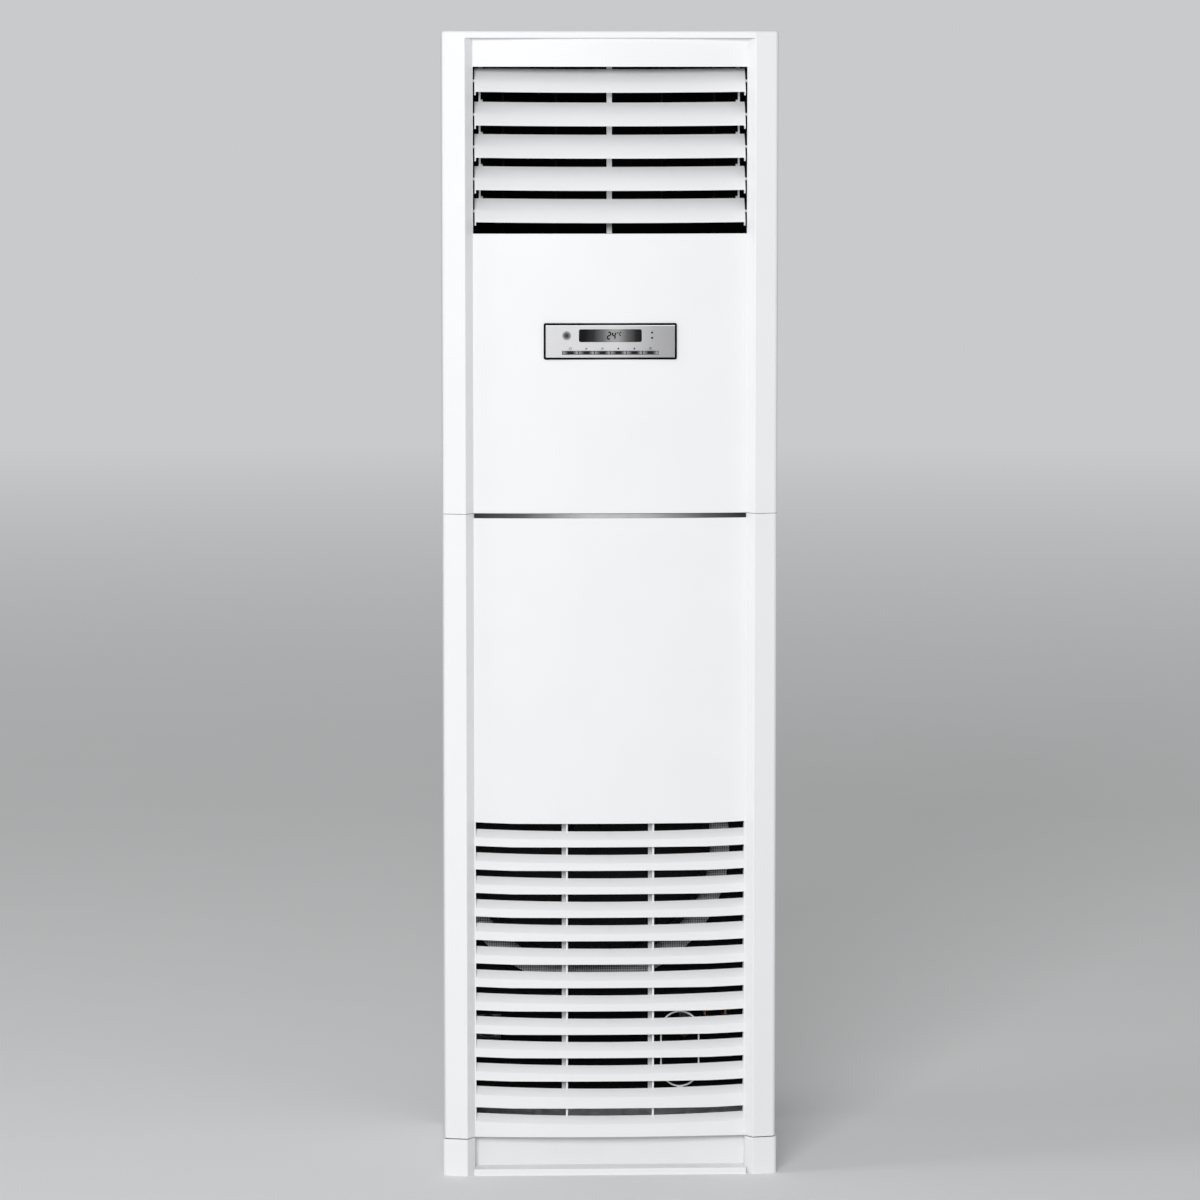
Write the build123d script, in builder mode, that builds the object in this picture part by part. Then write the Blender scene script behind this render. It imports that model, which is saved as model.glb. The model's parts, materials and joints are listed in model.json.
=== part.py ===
"""Floor standing air conditioner: an upright cabinet with an outlet on top and an intake below.

Millimetres. X to the right, Y to the rear, Z up. The origin is on the floor under the middle
of the cabinet. The front faces -Y.
"""
import os
from math import asin, atan, cos, degrees, radians, sin

from build123d import *

os.makedirs("parts", exist_ok=True)

# ---------------------------------------------------------------- driving dimensions

# cabinet
height = 1825.0
depth = 410.0
cabinet_width = 530.0
foot_flare = 2.5
sheet = 1.2
wall = 3.0
seat_gap = 0.3
seam_gap = 0.8
foot_gap = 1.6
foot_height = 59.3
seam_height = 1064.8
deck_height = 765.0
cap_height = 11.0
cap_round = 4.5
moulding_depth = 55.0
screw_head_height = 1.8
screw_rows = 8
screw_end_margin = 60.0

# front, seen from above
pillar_face = 36.2
panel_bow = 10.0
bevel_width = 12.3
bevel_depth = 16.0
pillar_fall = 8.0
pillar_corner_radius = 7.0
ridge_radius = 1.6

# outlet and its blades
header_height = 56.0
outlet_height = 261.8
blade_count = 5
blade_chord = 49.0
blade_thickness = 3.0
blade_hollow = 3.0
blade_end_gap = 3.0
blade_axis_setback = 27.0
blade_tilt = 41.0
first_blade_drop = 22.3
second_blade_drop = 74.9
blade_pitch = 50.6
pivot_radius = 2.2
pivot_clearance = 0.06
pin_radius = 1.6
link_arm_reach = 32.0
link_arm_setback = 6.0
tie_bar_inset = 11.5
tie_bar_width = 5.0
tie_bar_thickness = 3.0

# outlet duct and the upright vanes in it
duct_wall = 2.0
duct_rear_y = -60.0
duct_top_rise = 19.0
vane_count = 5
vane_side_room = 48.5
vane_chord = 66.0
vane_thickness = 2.0
vane_axis_y = -104.0
vane_foot_room = 24.0
vane_link_reach = 24.0
vane_link_width = 8.0
vane_link_thickness = 3.0
post_width = 8.2
post_depth = 9.0
post_front_y = -151.0

# intake grille
first_slot_top = 568.6
slot_count = 12
slot_pitch = 37.92
last_slot_top = 107.5
slot_opening = 14.2
slope_size = 12.0
slot_end_wall = 2.5
slot_end_rise = 4.2
rib_x = 69.0
rib_width = 3.0
rib_bite = 2.0
rib_rear_room = 3.0

# trim strip
trim_height = 7.0
trim_depth = 2.0

# display
display_width = 210.0
display_height = 57.0
display_drop = 169.5
display_proud = 1.2
display_depth = 14.0
bezel_border = 2.9
fascia_thickness = 2.5
fascia_set_back = 0.8
window_width = 99.0
window_height = 20.0
window_rise = 9.0
receiver_x = -69.0
receiver_rise = 9.1
receiver_radius = 6.9
lamp_x = 66.0
lamp_rises = (13.8, 5.5)
lamp_radius = 1.6
button_names = ("power_button", "mode_button", "fan_speed_button", "raise_button",
                "lower_button", "timer_button")
button_pitch = 25.3
button_gap = 0.6
button_height = 5.0
button_drop = 18.0
button_proud = 1.3
button_travel = 0.8
button_collar = 0.9

# blower
blower_x = -34.0
scroll_side_gap = 1.5
scroll_step = 20.0
wheel_room = 24.0
eye_lap = 6.0
bellmouth_top_room = 12.0
bellmouth_flare = 16.0
wheel_depth = 120.0
wheel_front_y = -104.0
wheel_blades = 42
wheel_hub_radius = 24.0
shaft_radius = 6.35
bore_clearance = 0.05
casing_front_y = -126.0
casing_rear_y = 44.0
casing_wall = 1.5
throat_x = 40.0
motor_radius = 66.0
motor_length = 92.0
motor_flange_radius = 86.0
motor_flange = 4.0

# filter
filter_bottom = 118.0
filter_top = 590.0
filter_front_y = -170.0
filter_thickness = 6.0
filter_border = 10.0
filter_lap = 9.5
filter_mullions = (-71.9, 66.4)
filter_mullion_width = 9.2
net_thickness = 0.8
net_columns = 7
net_rows = 12
net_strand = 2.0
pull_x = 113.0
pull_z = 199.0
pull_width = 63.0
pull_height = 124.0
pull_wire = 2.4

# evaporator
coil_side_room = 55.0
coil_thickness = 50.0
coil_lean_run = 198.8
coil_y = 20.0
coil_foot_rise = 124.3
coil_top_room = 118.0
coil_end_sheet = 2.0
fin_groove = 7.0
fin_groove_depth = 22.0
fin_pitch = 10.0
tube_radius = 4.8
tube_rows = 9
drain_pan_height = 32.0
drain_pan_depth = 120.0
drain_pan_y = 108.0
drain_pan_wall = 2.0
drain_pan_tab = 30.0

# pipes and service opening
gas_pipe_radius = 7.94
liquid_pipe_radius = 4.76
gas_pipe_inset = 60.0
pipe_spacing = 34.5
pipe_side_gap = 2.3
gas_joint_rise = 83.0
liquid_joint_rise = 60.0
gas_jog_drop = 44.0
liquid_jog_drop = 17.0
pipe_jog_height = 50.0
pipe_run_y = 112.0
pipe_z = 168.0
pipe_end_y = 196.0
pipe_bend_radius = 38.0
nut_length = 16.0
nut_rise = 90.0
spigot_radius = 10.0
spigot_bore = 8.0
service_width = 150.0
service_height = 90.0
grommet_inset = 75.0
grommet_z = 168.0
grommet_radius = 16.0
grommet_bore = 9.0

# electrical box
box_width = 235.0
box_height = 220.0
box_x = -87.5
box_rise = 55.0
box_front_y = -142.0
box_rear_y = -70.0
box_leg_width = 24.0
cable_hole_inset = 36.0
board_width = 157.0
board_height = 142.0
board_shift = 24.0
board_stand = 6.0
board_post_inset = 6.0
board_post_radius = 3.0
transformer_width = 36.0
transformer_height = 42.0
relay_width = 24.0
relay_height = 18.0
capacitor_radius = 9.0
board_part_depth = 24.0
terminal_ways = 5
terminal_pitch = 14.0
terminal_inset = 42.0
terminal_height = 24.0
terminal_depth = 18.0

# base and plinth
base_wall_height = 40.0
base_sheet = 1.5
base_bolt_inset = 50.0
base_bolt_spacing_y = 260.0
base_bolt_radius = 5.5
kick_setback = 36.0
lip_height = 10.5
lip_setback = 2.0
bracket_hole_spacing = 200.0
bracket_hole_radius = 4.5
bracket_height = 36.0
bracket_drop = 60.0

# ---------------------------------------------------------------- worked-out places

front_y = -depth / 2
rear_y = depth / 2 - screw_head_height
half_cabinet = cabinet_width / 2
half_foot = half_cabinet + foot_flare
half_panel = half_cabinet - pillar_face - bevel_width
panel_width = 2 * half_panel
ridge_x = half_panel + bevel_width
pillar_y = front_y + pillar_fall
panel_edge_y = front_y + bevel_depth
bow_y = panel_edge_y - panel_bow
bow_radius = (half_panel ** 2 + panel_bow ** 2) / (2 * panel_bow)
bow_centre_y = bow_y + bow_radius
moulding_rear_y = front_y + moulding_depth
cap_bottom = height - cap_height
inner_half = half_cabinet - sheet - seat_gap
inner_rear_y = rear_y - 2 * sheet - seat_gap
outlet_top = height - header_height
outlet_bottom = outlet_top - outlet_height
tie_bar_x = half_panel - tie_bar_inset
vane_pitch = (panel_width - 2 * vane_side_room) / (vane_count - 1)
display_z = outlet_bottom - display_drop
window_z = display_z + window_rise
receiver_z = display_z + receiver_rise
lamp_heights = [display_z + rise for rise in lamp_rises]
button_z = display_z - button_drop
grommet_x = grommet_inset - half_cabinet
gas_pipe_x = half_cabinet - gas_pipe_inset
liquid_pipe_x = gas_pipe_x - pipe_spacing
spigot_x = liquid_pipe_x - pipe_spacing


# ---------------------------------------------------------------- helpers

def save(piece, label):
    """Name a finished piece and write it to its own file."""
    piece.part.label = label
    export_step(piece.part, f"parts/{label}.step")


def front_plan(half_x, back_y):
    """The front from above: bowed panel, bevels, ridges and pillars, closed at back_y."""
    with BuildSketch(mode=Mode.PRIVATE) as plan:
        with BuildLine():
            ThreePointArc((-half_panel, panel_edge_y), (0, bow_y), (half_panel, panel_edge_y))
            Polyline((half_panel, panel_edge_y), (ridge_x, front_y), (half_x, pillar_y),
                     (half_x, back_y), (-half_x, back_y), (-half_x, pillar_y),
                     (-ridge_x, front_y), (-half_panel, panel_edge_y))
        make_face()
        fillet(plan.vertices().filter_by_position(Axis.Y, pillar_y - 0.1, pillar_y + 0.1),
               pillar_corner_radius)
        fillet(plan.vertices().group_by(Axis.Y)[0], ridge_radius)
    return plan.sketch


def front_shell(half_x, back_y):
    """The plan of the front moulding as a wall of even thickness, open to the rear."""
    with BuildSketch(mode=Mode.PRIVATE) as shell:
        add(front_plan(half_x, back_y))
        offset(shell.sketch, amount=-wall, mode=Mode.SUBTRACT)
        with Locations((0, back_y)):
            Rectangle(2 * (half_x - wall), 2.5 * wall, mode=Mode.SUBTRACT)
    return shell.sketch


def behind_panel(set_back, back_y):
    """Everything from a set distance behind the bowed panel face to back_y, from above."""
    edge_y = panel_edge_y + set_back
    with BuildSketch(mode=Mode.PRIVATE) as region:
        with BuildLine():
            ThreePointArc((-half_panel, edge_y), (0, bow_y + set_back), (half_panel, edge_y))
            Polyline((half_panel, edge_y), (half_panel, back_y), (-half_panel, back_y),
                     (-half_panel, edge_y))
        make_face()
    return region.sketch


def radial_plane(angle):
    """An upright plane through the bow's axis: local x runs outwards, local y upwards."""
    outward = (sin(angle), -cos(angle), 0)
    sideways = (-cos(angle), -sin(angle), 0)
    return Plane(origin=(0, bow_centre_y, 0), x_dir=outward, z_dir=sideways)


bow_axis = Axis((0, bow_centre_y, 0), (0, 0, 1))


# ---------------------------------------------------------------- base and plinth

base_front_y = front_y + kick_setback + wall + 2 * seat_gap
base_depth = inner_rear_y - base_front_y
base_middle_y = base_front_y + base_depth / 2

with BuildPart() as base_pan:
    with BuildSketch(Plane.XY):
        with Locations((0, base_middle_y)):
            Rectangle(2 * inner_half, base_depth)
    extrude(amount=base_wall_height)
    with BuildSketch(Plane.XY.offset(base_sheet)):
        with Locations((0, base_middle_y)):
            Rectangle(2 * (inner_half - base_sheet), base_depth - 2 * base_sheet)
    extrude(amount=base_wall_height, mode=Mode.SUBTRACT)
    with BuildSketch(Plane.XY):
        with Locations((0, base_middle_y)):
            with GridLocations(cabinet_width - 2 * base_bolt_inset, base_bolt_spacing_y, 2, 2):
                Circle(base_bolt_radius)
    extrude(amount=base_sheet, mode=Mode.SUBTRACT)
save(base_pan, "base_pan")

kick_y = front_y + kick_setback
with BuildPart() as plinth:
    with BuildSketch(Plane.XY):
        add(front_shell(half_foot, moulding_rear_y))
        with Locations((0, front_y)):
            Rectangle(2 * half_panel, 2 * bevel_depth + panel_bow, mode=Mode.SUBTRACT)
    extrude(amount=foot_height)
    with BuildSketch(Plane.XY):
        for side in (-1, 1):
            with Locations((side * (half_panel + wall / 2), (panel_edge_y + kick_y + wall) / 2)):
                Rectangle(wall, kick_y + wall - panel_edge_y)
        with Locations((0, kick_y + wall / 2)):
            Rectangle(2 * half_panel + wall, wall)
    extrude(amount=foot_height)
    with BuildSketch(Plane.XY):
        with Locations((0, (front_y + lip_setback + kick_y + wall) / 2)):
            Rectangle(2 * half_panel + wall, kick_y + wall - front_y - lip_setback)
    extrude(amount=lip_height)
    with BuildSketch(Plane.XY):
        with Locations((0, (front_y + lip_setback + kick_y + wall) / 2 + wall)):
            Rectangle(2 * half_panel - wall, kick_y + wall - front_y - lip_setback)
    extrude(amount=lip_height - wall, mode=Mode.SUBTRACT)
    top_edges = plinth.edges().filter_by(Axis.X).filter_by_position(
        Axis.Z, lip_height - 0.1, lip_height + 0.1).sort_by(Axis.Y)
    fillet(top_edges[0], wall / 2)
save(plinth, "plinth_cover")


# ---------------------------------------------------------------- side, rear and top sheets

side_flange = 18.0
side_bottom = 3.0
side_front_y = moulding_rear_y + seam_gap
side_depth = rear_y - sheet - side_front_y
screw_radius = 2.0
screw_clearance = 0.15
screw_inset = 9.0
screw_pitch = (cap_bottom - 2 * screw_end_margin) / (screw_rows - 1)
screw_heights = [screw_end_margin + i * screw_pitch for i in range(screw_rows)]

for side, label in ((-1, "left_side_panel"), (1, "right_side_panel")):
    with BuildPart() as side_panel:
        with BuildSketch(Plane.XY.offset(side_bottom)):
            with Locations((side * (half_cabinet - sheet / 2), side_front_y + side_depth / 2)):
                Rectangle(sheet, side_depth)
        extrude(amount=cap_bottom - side_bottom)
        with BuildSketch(Plane.XY.offset(base_wall_height + seat_gap)):
            with Locations((side * (half_cabinet - side_flange / 2), rear_y - 1.5 * sheet)):
                Rectangle(side_flange, sheet)
            with Locations((side * (half_cabinet - side_flange / 2), side_front_y + sheet / 2)):
                Rectangle(side_flange, sheet)
        extrude(amount=cap_bottom - base_wall_height - seat_gap)
        with BuildSketch(Plane.XZ.offset(-rear_y)):
            for z in screw_heights:
                with Locations((side * (half_cabinet - screw_inset), z)):
                    Circle(screw_radius + screw_clearance)
        extrude(amount=3 * sheet, mode=Mode.SUBTRACT)
    save(side_panel, label)

rear_split = deck_height
with BuildPart() as rear_panel_upper:
    with BuildSketch(Plane.XZ.offset(-rear_y)):
        with Locations((0, (rear_split + cap_bottom) / 2)):
            Rectangle(cabinet_width, cap_bottom - rear_split)
        for z in screw_heights:
            with Locations((half_cabinet - screw_inset, z), (screw_inset - half_cabinet, z)):
                Circle(screw_radius + screw_clearance, mode=Mode.SUBTRACT)
        with Locations((0, height - bracket_drop)):
            with GridLocations(bracket_hole_spacing, 0, 2, 1):
                Circle(bracket_hole_radius + seat_gap, mode=Mode.SUBTRACT)
    extrude(amount=sheet)
save(rear_panel_upper, "rear_panel_upper")

service_x = (gas_pipe_x + spigot_x) / 2
with BuildPart() as rear_panel_lower:
    with BuildSketch(Plane.XZ.offset(-rear_y)):
        with Locations((0, (rear_split - seam_gap + side_bottom) / 2)):
            Rectangle(cabinet_width, rear_split - seam_gap - side_bottom)
        for z in screw_heights:
            with Locations((half_cabinet - screw_inset, z), (screw_inset - half_cabinet, z)):
                Circle(screw_radius + screw_clearance, mode=Mode.SUBTRACT)
        with Locations((service_x, pipe_z)):
            RectangleRounded(service_width, service_height, wall, mode=Mode.SUBTRACT)
        with Locations((grommet_x, grommet_z)):
            Circle(grommet_radius, mode=Mode.SUBTRACT)
    extrude(amount=sheet)
save(rear_panel_lower, "rear_panel_lower")

with BuildPart() as cabinet_screws:
    with BuildSketch(Plane.XZ.offset(-rear_y)):
        for z in screw_heights:
            with Locations((half_cabinet - screw_inset, z), (screw_inset - half_cabinet, z)):
                Circle(2 * screw_radius)
    extrude(amount=-screw_head_height)
    with BuildSketch(Plane.XZ.offset(-rear_y)):
        for z in screw_heights:
            with Locations((half_cabinet - screw_inset, z), (screw_inset - half_cabinet, z)):
                Circle(screw_radius)
    extrude(amount=5 * sheet)
    with BuildSketch(Plane.XZ.offset(-rear_y - screw_head_height)):
        for z in screw_heights:
            with Locations((half_cabinet - screw_inset, z), (screw_inset - half_cabinet, z)):
                Rectangle(2.5 * screw_radius, screw_radius / 3, mode=Mode.ADD)
                Rectangle(screw_radius / 3, 2.5 * screw_radius, mode=Mode.ADD)
    extrude(amount=screw_head_height / 2, mode=Mode.SUBTRACT)
save(cabinet_screws, "cabinet_screws")

with BuildPart() as top_cover:
    with BuildSketch(Plane.XY.offset(cap_bottom)) as cap_plan:
        with BuildLine():
            Polyline((ridge_x, front_y), (half_cabinet, pillar_y), (half_cabinet, rear_y),
                     (-half_cabinet, rear_y), (-half_cabinet, pillar_y), (-ridge_x, front_y),
                     close=True)
        make_face()
        fillet(cap_plan.vertices().filter_by_position(Axis.Y, pillar_y - 0.1, pillar_y + 0.1),
               pillar_corner_radius)
    extrude(amount=cap_height)
    fillet(top_cover.edges().group_by(Axis.Z)[-1], cap_round)
    with BuildSketch(Plane.XY.offset(cap_bottom)):
        add(offset(front_plan(half_cabinet, rear_y), amount=-wall, mode=Mode.PRIVATE))
    extrude(amount=cap_height - wall, mode=Mode.SUBTRACT)
save(top_cover, "top_cover")


# ---------------------------------------------------------------- front mouldings

upper_bottom = seam_height + seam_gap / 2
lower_top = seam_height - seam_gap / 2
lower_bottom = foot_height + foot_gap
bezel_room = seat_gap
outlet_z = (outlet_top + outlet_bottom) / 2
duct_top = outlet_top + duct_top_rise
duct_floor = outlet_bottom - wall - 2 * seat_gap

with BuildPart() as upper_front_panel:
    with BuildSketch(Plane.XY.offset(upper_bottom)):
        add(front_shell(half_cabinet, moulding_rear_y))
    extrude(amount=cap_bottom - upper_bottom)
    with BuildSketch(Plane.XZ.offset(-panel_edge_y - 2 * wall)):
        with Locations((0, outlet_z)):
            Rectangle(panel_width - 2 * seat_gap, outlet_height)
    extrude(amount=4 * wall + panel_bow, mode=Mode.SUBTRACT)
    with BuildSketch(Plane.XZ.offset(-front_y)):
        with Locations((0, display_z)):
            RectangleRounded(display_width + 2 * bezel_room, display_height + 2 * bezel_room,
                             wall)
    extrude(amount=-2 * bevel_depth, mode=Mode.SUBTRACT)
    with BuildSketch(Plane.XZ.offset(-post_front_y)):
        with Locations((0, (duct_top + duct_floor) / 2)):
            Rectangle(post_width, duct_top - duct_floor - 2 * seat_gap)
    extrude(amount=-post_depth)
    for z in (duct_top - wall - seat_gap, duct_floor + seat_gap):
        with BuildSketch(Plane.XY.offset(z)):
            with Locations((0, (bow_y + post_front_y + post_depth) / 2 + wall / 2)):
                Rectangle(post_width, post_front_y + post_depth - bow_y - wall)
        extrude(amount=wall)
save(upper_front_panel, "upper_front_panel")

slot_half = half_panel - slot_end_wall
filter_half_width = half_panel + filter_lap
filter_rear_y = filter_front_y + filter_thickness
rail_lip = 9.0
rail_thickness = 2.0
rail_rear_y = filter_rear_y + seat_gap + rail_thickness
rail_x = filter_half_width + seat_gap
slot_wall_rear_y = filter_front_y - seat_gap
slot_tops = [first_slot_top - i * slot_pitch for i in range(slot_count)] + [last_slot_top]
strip_bottoms = slot_tops[1:] + [lower_bottom]
half_sweep = asin(half_panel / bow_radius)
rib_front_y = bow_y + slope_size + rib_x ** 2 / (2 * bow_radius) - rib_bite
rib_rear_y = filter_front_y - rib_rear_room
slope_tilt = atan(slot_end_rise / panel_bow)
trim_bottom = lower_top - trim_height

# the slats' slopes rise towards their ends, because they follow a tilted bow
with BuildPart() as slope_cut:
    slope_axis = Axis((0, bow_centre_y, (first_slot_top + last_slot_top) / 2),
                      (0, -sin(slope_tilt), cos(slope_tilt)))
    with BuildSketch(Plane.YZ):
        for slot_top in slot_tops:
            slope_top = slot_top - slot_opening
            with BuildLine():
                Polyline((bow_y - slope_size, slope_top - 2 * slope_size),
                         (bow_y + 2 * slope_size, slope_top + slope_size),
                         (bow_y - slope_size, slope_top + slope_size),
                         (bow_y - slope_size, slope_top - 2 * slope_size))
            make_face()
    revolve(axis=slope_axis, revolution_arc=1.2 * degrees(half_sweep))
    mirror(about=Plane.YZ)
    with Locations((0, bow_y, (first_slot_top + last_slot_top) / 2)):
        Box(2 * slot_half + seam_gap, 8 * slope_size, 2 * (first_slot_top - last_slot_top),
            mode=Mode.INTERSECT)

with BuildPart() as lower_front_panel:
    with BuildSketch(Plane.XY.offset(lower_bottom)):
        add(front_shell(half_cabinet, moulding_rear_y))
    extrude(amount=lower_top - lower_bottom)
    with BuildSketch(Plane.XZ.offset(-panel_edge_y - 2 * wall)):
        with Locations((0, (lower_bottom + first_slot_top) / 2)):
            Rectangle(2 * slot_half, first_slot_top - lower_bottom)
    extrude(amount=panel_bow + 4 * wall, mode=Mode.SUBTRACT)
    for side in (-1, 1):
        with BuildSketch(Plane.XY.offset(lower_bottom)):
            with Locations((side * (slot_half + slot_end_wall / 2),
                            (panel_edge_y + slot_wall_rear_y) / 2)):
                Rectangle(slot_end_wall, slot_wall_rear_y - panel_edge_y)
        extrude(amount=filter_top - lower_bottom)
        with BuildSketch(Plane.XY.offset(lower_bottom)):
            add(offset(front_plan(half_cabinet, rail_rear_y + wall / 2), amount=-wall / 2,
                       mode=Mode.PRIVATE))
            with Locations((side * (rail_x + slot_end_wall / 2), (front_y + rail_rear_y) / 2)):
                Rectangle(slot_end_wall, rail_rear_y - front_y, mode=Mode.INTERSECT)
            with Locations((side * (rail_x + slot_end_wall - rail_lip / 2),
                            rail_rear_y - rail_thickness / 2)):
                Rectangle(rail_lip, rail_thickness)
        extrude(amount=filter_top - lower_bottom)
    with BuildSketch(radial_plane(-half_sweep)):
        for slot_top, strip_bottom in zip(slot_tops, strip_bottoms):
            face_top = slot_top - slot_opening - slope_size + slot_end_rise
            with BuildLine():
                Polyline((bow_radius, strip_bottom), (bow_radius, face_top),
                         (bow_radius - slope_size, face_top + slope_size),
                         (bow_radius - slope_size, face_top + slope_size - 1.4 * wall),
                         (bow_radius - wall, face_top - 0.4 * wall),
                         (bow_radius - wall, strip_bottom + wall / 3),
                         (bow_radius, strip_bottom))
            make_face()
    revolve(axis=bow_axis, revolution_arc=degrees(2 * half_sweep))
    add(slope_cut.part, mode=Mode.SUBTRACT)
    with BuildSketch(Plane.XY.offset(lower_bottom)):
        for x in (-rib_x, rib_x):
            with Locations((x, (rib_front_y + rib_rear_y) / 2)):
                Rectangle(rib_width, rib_rear_y - rib_front_y)
    extrude(amount=first_slot_top + wall - lower_bottom)
    with BuildSketch(Plane.XY.offset(filter_bottom - seat_gap)):
        for side in (-1, 1):
            with Locations((side * (rail_x + slot_end_wall - rail_lip / 2),
                            (filter_front_y + rail_rear_y) / 2)):
                Rectangle(rail_lip, rail_rear_y - filter_front_y)
    extrude(amount=-rail_thickness)
    with BuildSketch(radial_plane(-half_sweep)):
        with Locations((bow_radius, trim_bottom + trim_height)):
            Rectangle(2 * trim_depth, 2 * trim_height)
    revolve(axis=bow_axis, revolution_arc=degrees(2 * half_sweep), mode=Mode.SUBTRACT)
save(lower_front_panel, "lower_front_panel")

trim_sweep = asin((half_panel - seam_gap) / bow_radius)
with BuildPart() as trim_strip:
    with BuildSketch(radial_plane(-trim_sweep)):
        with Locations((bow_radius - trim_depth / 2 + seat_gap / 2, lower_top - trim_height / 2)):
            Rectangle(trim_depth + seat_gap, trim_height)
    revolve(axis=bow_axis, revolution_arc=degrees(2 * trim_sweep))
save(trim_strip, "trim_strip")


# ---------------------------------------------------------------- display and buttons

display_front_y = bow_y - display_proud
fascia_y = display_front_y + fascia_set_back
fascia_rear_y = fascia_y + fascia_thickness
board_recess = 4.5
board_thickness = 1.6
board_front_y = display_front_y + display_depth - board_recess
board_margin = 6.0
flange_margin = 6.0
flange_thickness = 2.0
flange_fall = (display_width / 2 + flange_margin) ** 2 / (2 * bow_radius)
flange_y = bow_y + wall + flange_fall + seat_gap
ledge = 2.5
fit_gap = 0.15
lamp_length = board_front_y - fascia_y
strip_width = len(button_names) * button_pitch + button_gap


def display_plane(y):
    """An upright plane facing the viewer at depth y, its local y at the display's middle."""
    return Plane(origin=(0, y, display_z), x_dir=(1, 0, 0), z_dir=(0, -1, 0))


with BuildPart() as display_bezel:
    with BuildSketch(display_plane(display_front_y)):
        RectangleRounded(display_width, display_height, wall)
    extrude(amount=-display_depth)
    with BuildSketch(display_plane(flange_y)):
        Rectangle(display_width + 2 * flange_margin, display_height + 2 * flange_margin)
    extrude(amount=-flange_thickness)
    with BuildSketch(display_plane(display_front_y)):
        Rectangle(display_width - 2 * bezel_border, display_height - 2 * bezel_border)
    extrude(amount=-(fascia_rear_y - display_front_y), mode=Mode.SUBTRACT)
    with BuildSketch(display_plane(display_front_y)):
        Rectangle(display_width - 2 * (bezel_border + ledge),
                  display_height - 2 * (bezel_border + ledge))
    extrude(amount=-display_depth, mode=Mode.SUBTRACT)
    with BuildSketch(display_plane(board_front_y)):
        Rectangle(display_width - 2 * bezel_border, display_height - 2 * bezel_border)
    extrude(amount=-board_recess, mode=Mode.SUBTRACT)
    chamfer(display_bezel.edges().group_by(Axis.Y)[0], fascia_set_back / 2)
save(display_bezel, "display_bezel")

with BuildPart() as display_fascia:
    with BuildSketch(display_plane(fascia_y)):
        Rectangle(display_width - 2 * (bezel_border + fit_gap),
                  display_height - 2 * (bezel_border + fit_gap))
        with Locations((0, window_z - display_z)):
            RectangleRounded(window_width + 2 * fit_gap, window_height + 2 * fit_gap,
                             wall, mode=Mode.SUBTRACT)
        with Locations((receiver_x, receiver_z - display_z)):
            Circle(receiver_radius + fit_gap, mode=Mode.SUBTRACT)
        for z in lamp_heights:
            with Locations((lamp_x, z - display_z)):
                Circle(lamp_radius + fit_gap, mode=Mode.SUBTRACT)
        with Locations((0, button_z - display_z)):
            Rectangle(strip_width, button_height + 2 * button_gap, mode=Mode.SUBTRACT)
    extrude(amount=-fascia_thickness)
save(display_fascia, "display_fascia")

with BuildPart() as display_window:
    with BuildSketch(display_plane(fascia_y)):
        with Locations((0, window_z - display_z)):
            RectangleRounded(window_width, window_height, wall - fit_gap)
    extrude(amount=-fascia_thickness)
    with BuildSketch(display_plane(fascia_rear_y)):
        with Locations((0, window_z - display_z)):
            RectangleRounded(window_width + wall, window_height + wall, wall)
    extrude(amount=-(board_front_y - fascia_rear_y))
save(display_window, "display_window")

with BuildPart() as receiver_lens:
    with BuildSketch(display_plane(fascia_y)):
        with Locations((receiver_x, receiver_z - display_z)):
            Circle(receiver_radius)
    extrude(amount=-(board_front_y - fascia_y))
    fillet(receiver_lens.edges().group_by(Axis.Y)[0], fascia_set_back)
save(receiver_lens, "receiver_lens")

with BuildPart() as indicator_lamps:
    with BuildSketch(display_plane(fascia_y)):
        for z in lamp_heights:
            with Locations((lamp_x, z - display_z)):
                Circle(lamp_radius)
    extrude(amount=-lamp_length)
save(indicator_lamps, "indicator_lamps")

with BuildPart() as display_board:
    with BuildSketch(display_plane(board_front_y)):
        Rectangle(display_width - 2 * (bezel_border + fit_gap),
                  display_height - 2 * (bezel_border + fit_gap))
    extrude(amount=-board_thickness)
save(display_board, "display_board")

button_front_y = fascia_y - button_proud
for i, name in enumerate(button_names):
    button_x = (i - (len(button_names) - 1) / 2) * button_pitch
    with BuildPart() as button:
        with BuildSketch(display_plane(button_front_y)):
            with Locations((button_x, button_z - display_z)):
                RectangleRounded(button_pitch - button_gap, button_height, button_gap)
        extrude(amount=-(board_front_y - button_front_y - button_travel - seat_gap))
        fillet(button.edges().group_by(Axis.Y)[0], button_gap)
        with BuildSketch(display_plane(fascia_rear_y + seat_gap)):
            with Locations((button_x, button_z - display_z)):
                Rectangle(button_pitch - button_gap, button_height + 2 * button_collar)
        extrude(amount=-wall / 2)
    save(button, name)


# ---------------------------------------------------------------- outlet duct

duct_front_y = panel_edge_y + wall + 2 * seat_gap
duct_length = duct_rear_y - duct_front_y
duct_middle_y = (duct_front_y + duct_rear_y) / 2
duct_ear_y = side_front_y + sheet + seat_gap
blade_axis_y = front_y + blade_axis_setback
blade_heights = [outlet_top - first_blade_drop] + [
    outlet_top - second_blade_drop - i * blade_pitch for i in range(blade_count - 1)]
vane_places = [(i - (vane_count - 1) / 2) * vane_pitch for i in range(vane_count)]
vane_journal_radius = 3.0
link_z = duct_floor + vane_foot_room / 3

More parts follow.
